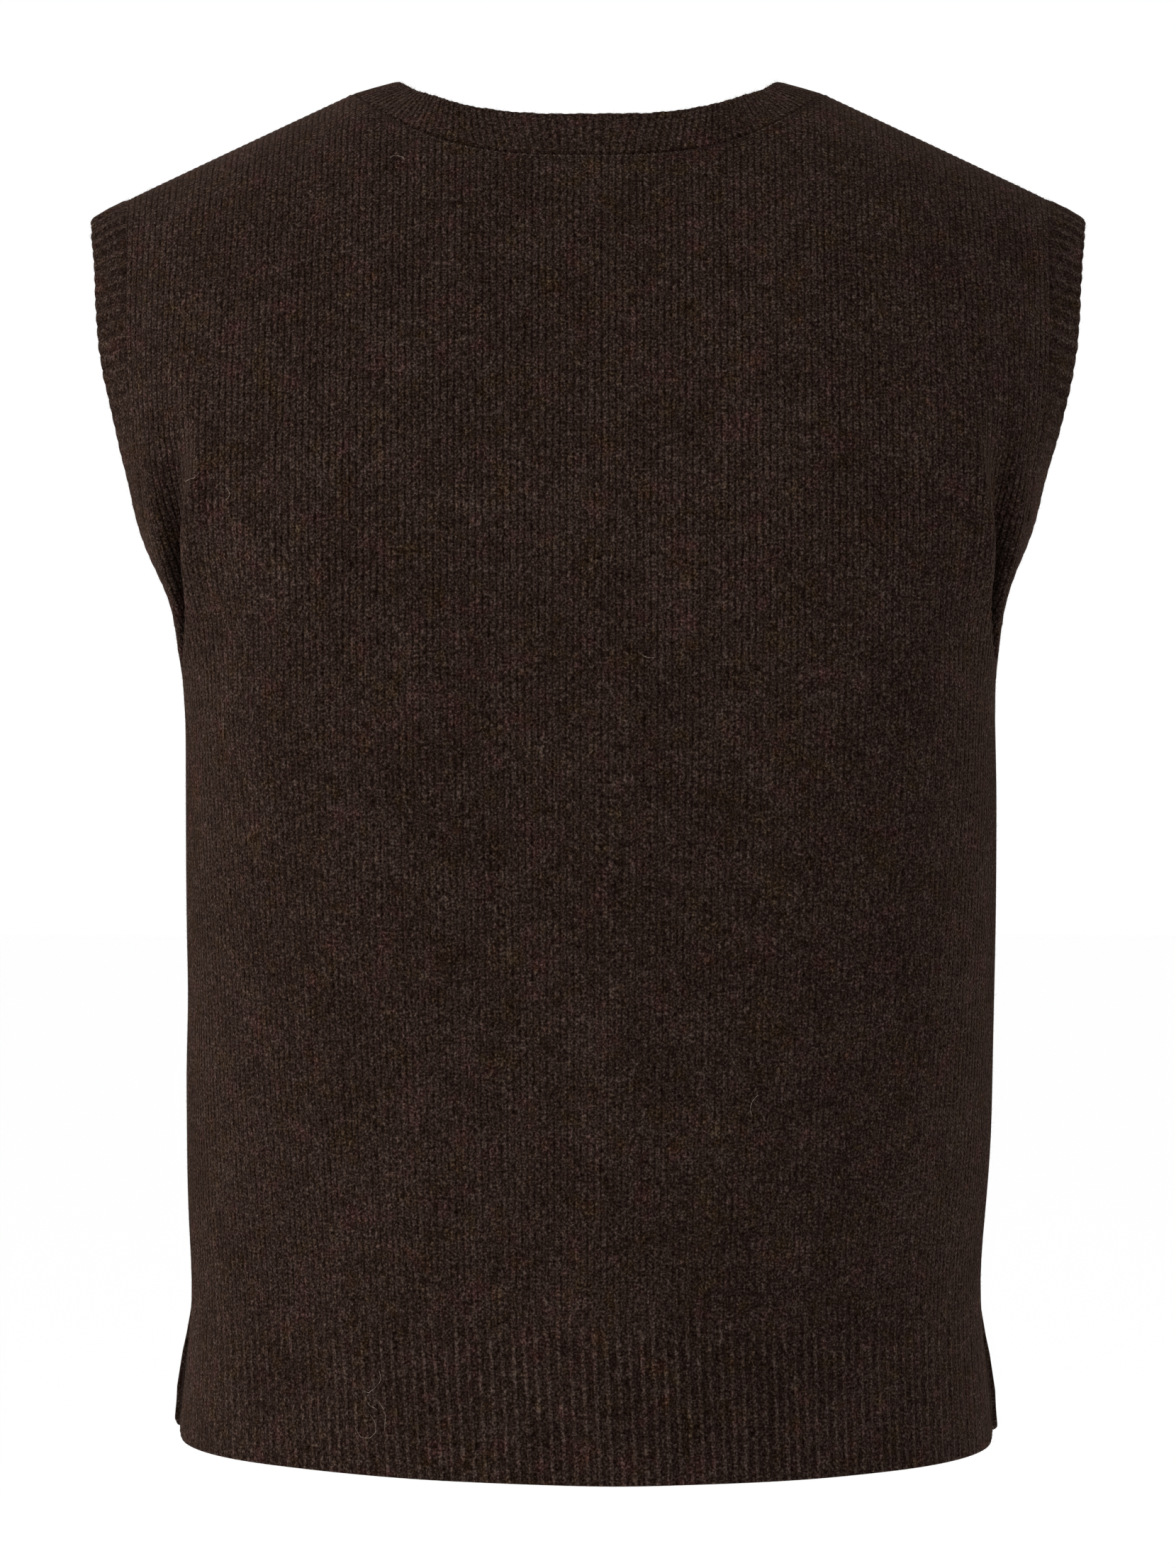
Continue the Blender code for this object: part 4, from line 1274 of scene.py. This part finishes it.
def link_chain(loop, cloth):
    """The chain of small stitches that joins the neckband to the body."""
    shape = bmesh.new()
    bmesh.ops.create_uvsphere(shape, u_segments=6, v_segments=4, radius=1)
    shape.verts.ensure_lookup_table()
    flat = np.array([vert.co for vert in shape.verts])
    count = round(loop.length / LINK_PITCH)
    along = np.arange(count) / count
    points, walls, onward = loop.read(along)
    ways = np.cross(onward, walls)
    tilt = LINK_TILT * np.where(np.arange(count) % 2, 1, -1)
    forward = turned(ways, onward, tilt)
    beside = np.cross(walls, forward)
    centre = points + walls * (cloth.wall / 2) - onward * (BAND_FOOT + LINK_SIZE[1] / 2)
    scattered = np.arange(count) * GOLDEN % 1
    uneven = 0.75 + 0.5 * scattered[:, None]
    spots = [centre + (forward * (x * LINK_SIZE[0]) + beside * (y * LINK_SIZE[1])
                       + walls * (z * LINK_SIZE[2])) * uneven for x, y, z in flat]
    mesh = repeated("neck_chain", shape, np.stack(spots, axis=1))
    mesh.shade_smooth()
    sparkle = scattered**2
    stretch = 0.5 + 0.5 * sway(2 * np.pi * 7 * along, 2, 3 / 7)
    give_tones(mesh, LINK_TONES[0] + LINK_TONES[1] * sparkle * stretch)
    material = fibre_material("neck_chain_yarn", cloth.yarn, cloth.pale)
    return add_piece("neck_chain", mesh, material)


NECKBAND = Band("neckband", "neck_rib", NECKBAND_WIDTH, NECK_RIBS, NECKBAND_STEPS, neck_stand,
                neck_skew, NECKBAND_CURL, "neck_rise", NECK_LOOK, rib_start=0.02, fade=0.0,
                corner=0.0, flat=(0.670, NECKBAND_WIDTH))
ARM_BANDS = tuple(
    Band("armhole_band_" + side, side + "_arm_rib", ARMBAND_WIDTH, ARM_RIBS, ARMBAND_STEPS,
         straight, straight, ARMBAND_CURL, "arm_rise", ARM_LOOK, rib_start=0.2, fade=0.7,
         corner=3.2 * MM, flat=(0.528, ARMBAND_WIDTH))
    for side in ("left", "right"))


@functools.cache
def forms():
    """The back and front forms, worked out once."""
    return Form(BACK), Form(FRONT)


def arm_loops():
    """Each armhole band with the seam line that it grows from."""
    return [(band, arm_loop(*forms(), side)) for band, side in zip(ARM_BANDS, (1, -1))]


class VEST_OT_panels(bpy.types.Operator):
    """Knit the back and front panels"""
    bl_idname = "vest.panels"
    bl_label = "Body panels"

    def execute(self, context):
        for form in forms():
            knit_panel(form, context.scene.vest_cloth)
        return {"FINISHED"}


class VEST_OT_neckband(bpy.types.Operator):
    """Knit the neckband and link it to the panels"""
    bl_idname = "vest.neckband"
    bl_label = "Neckband"

    def execute(self, context):
        loop = neck_loop(*forms())
        knit_band(NECKBAND, loop, context.scene.vest_cloth)
        link_chain(loop, context.scene.vest_cloth)
        return {"FINISHED"}


class VEST_OT_armbands(bpy.types.Operator):
    """Knit the two armhole bands"""
    bl_idname = "vest.armbands"
    bl_label = "Armhole bands"

    def execute(self, context):
        for band, loop in arm_loops():
            knit_band(band, loop, context.scene.vest_cloth)
        return {"FINISHED"}


class VEST_OT_nap(bpy.types.Operator):
    """Raise loose fibres from the cloth"""
    bl_idname = "vest.nap"
    bl_label = "Nap"

    def execute(self, context):
        cloth = context.scene.vest_cloth
        nap = context.scene.vest_nap
        draw = np.random.default_rng(nap.seed)
        for form in forms():
            panel_nap(form, nap, cloth, draw)
        for band, loop in [(NECKBAND, neck_loop(*forms()))] + arm_loops():
            band_nap(band, loop, nap, cloth, draw)
        for form, hairs in zip(forms(), (BACK_HAIRS, FRONT_HAIRS)):
            lay_hairs(form, hairs, nap, cloth, draw)
        return {"FINISHED"}


class VEST_OT_stage(bpy.types.Operator):
    """Set the floor, the lights and the camera"""
    bl_idname = "vest.stage"
    bl_label = "Studio"

    def execute(self, context):
        stage = context.scene.vest_stage
        lay_floor(stage)
        light_room(stage)
        place_camera(context.scene, stage)
        return {"FINISHED"}


def lay_floor(stage):
    """A wide pale floor, far below the vest."""
    body = bmesh.new()
    bmesh.ops.create_grid(body, x_segments=1, y_segments=1, size=FLOOR_SIZE)
    bmesh.ops.translate(body, verts=body.verts, vec=(0, 0, -stage.floor_drop))
    mesh = new_mesh("studio_floor", body)
    shader = Shader("studio_floor_paint")
    shader.surface.inputs["Base Color"].default_value = rgba([FLOOR_WHITE] * 3)
    shader.surface.inputs["Roughness"].default_value = 0.9
    mesh.materials.append(shader.material)
    new_object("studio_floor", mesh)


def light_room(stage):
    """An even white room with two soft lights."""
    scene = bpy.context.scene
    world = bpy.data.worlds.new("studio_room")
    world.use_nodes = True
    background = world.node_tree.nodes["Background"]
    background.inputs["Color"].default_value = (1, 1, 1, 1)
    background.inputs["Strength"].default_value = stage.surround
    scene.world = world
    scene.view_settings.view_transform = "Standard"
    for name, place, size, share in LIGHTS:
        light = bpy.data.lights.new(name, "AREA")
        light.shape = "DISK"
        light.size = size
        light.energy = share * stage.key
        light.color = stage.key_colour
        lamp = new_object(name, light)
        lamp.location = place
        aim = Vector(LIGHTS_AIM) - Vector(place)
        lamp.rotation_euler = aim.to_track_quat("-Z", "Y").to_euler()


def place_camera(scene, stage):
    """A level camera that looks at the back."""
    camera = bpy.data.cameras.new("camera")
    camera.sensor_width = 36.0
    camera.lens = camera.sensor_width * stage.camera_distance / stage.frame_height
    holder = new_object("camera", camera)
    holder.location = (0, stage.camera_distance, stage.camera_height)
    holder.rotation_euler = (QUARTER_TURN, 0, math.pi)
    scene.camera = holder


STEPS = (
    VEST_OT_panels,
    VEST_OT_neckband,
    VEST_OT_armbands,
    VEST_OT_nap,
    VEST_OT_stage,
)


class VEST_PT_sidebar(bpy.types.Panel):
    """Settings and steps of the vest"""
    bl_label = "Sweater vest"
    bl_idname = "VEST_PT_sidebar"
    bl_space_type = "VIEW_3D"
    bl_region_type = "UI"
    bl_category = "Vest"

    def draw(self, context):
        column = self.layout.column()
        for step in STEPS:
            column.operator(step.bl_idname)
        for group in (context.scene.vest_cloth, context.scene.vest_nap, context.scene.vest_stage):
            box = self.layout.box()
            for name in group.__annotations__:
                box.prop(group, name)


CLASSES = (VestCloth, VestNap, VestStage) + STEPS + (VEST_PT_sidebar,)


def register():
    for each in CLASSES:
        bpy.utils.register_class(each)
    bpy.types.Scene.vest_cloth = bpy.props.PointerProperty(type=VestCloth)
    bpy.types.Scene.vest_nap = bpy.props.PointerProperty(type=VestNap)
    bpy.types.Scene.vest_stage = bpy.props.PointerProperty(type=VestStage)


def unregister():
    del bpy.types.Scene.vest_stage
    del bpy.types.Scene.vest_nap
    del bpy.types.Scene.vest_cloth
    for each in reversed(CLASSES):
        bpy.utils.unregister_class(each)


def main():
    register()
    bpy.ops.vest.panels()
    bpy.ops.vest.neckband()
    bpy.ops.vest.armbands()
    bpy.ops.vest.nap()
    bpy.ops.vest.stage()


if __name__ == "__main__":
    main()
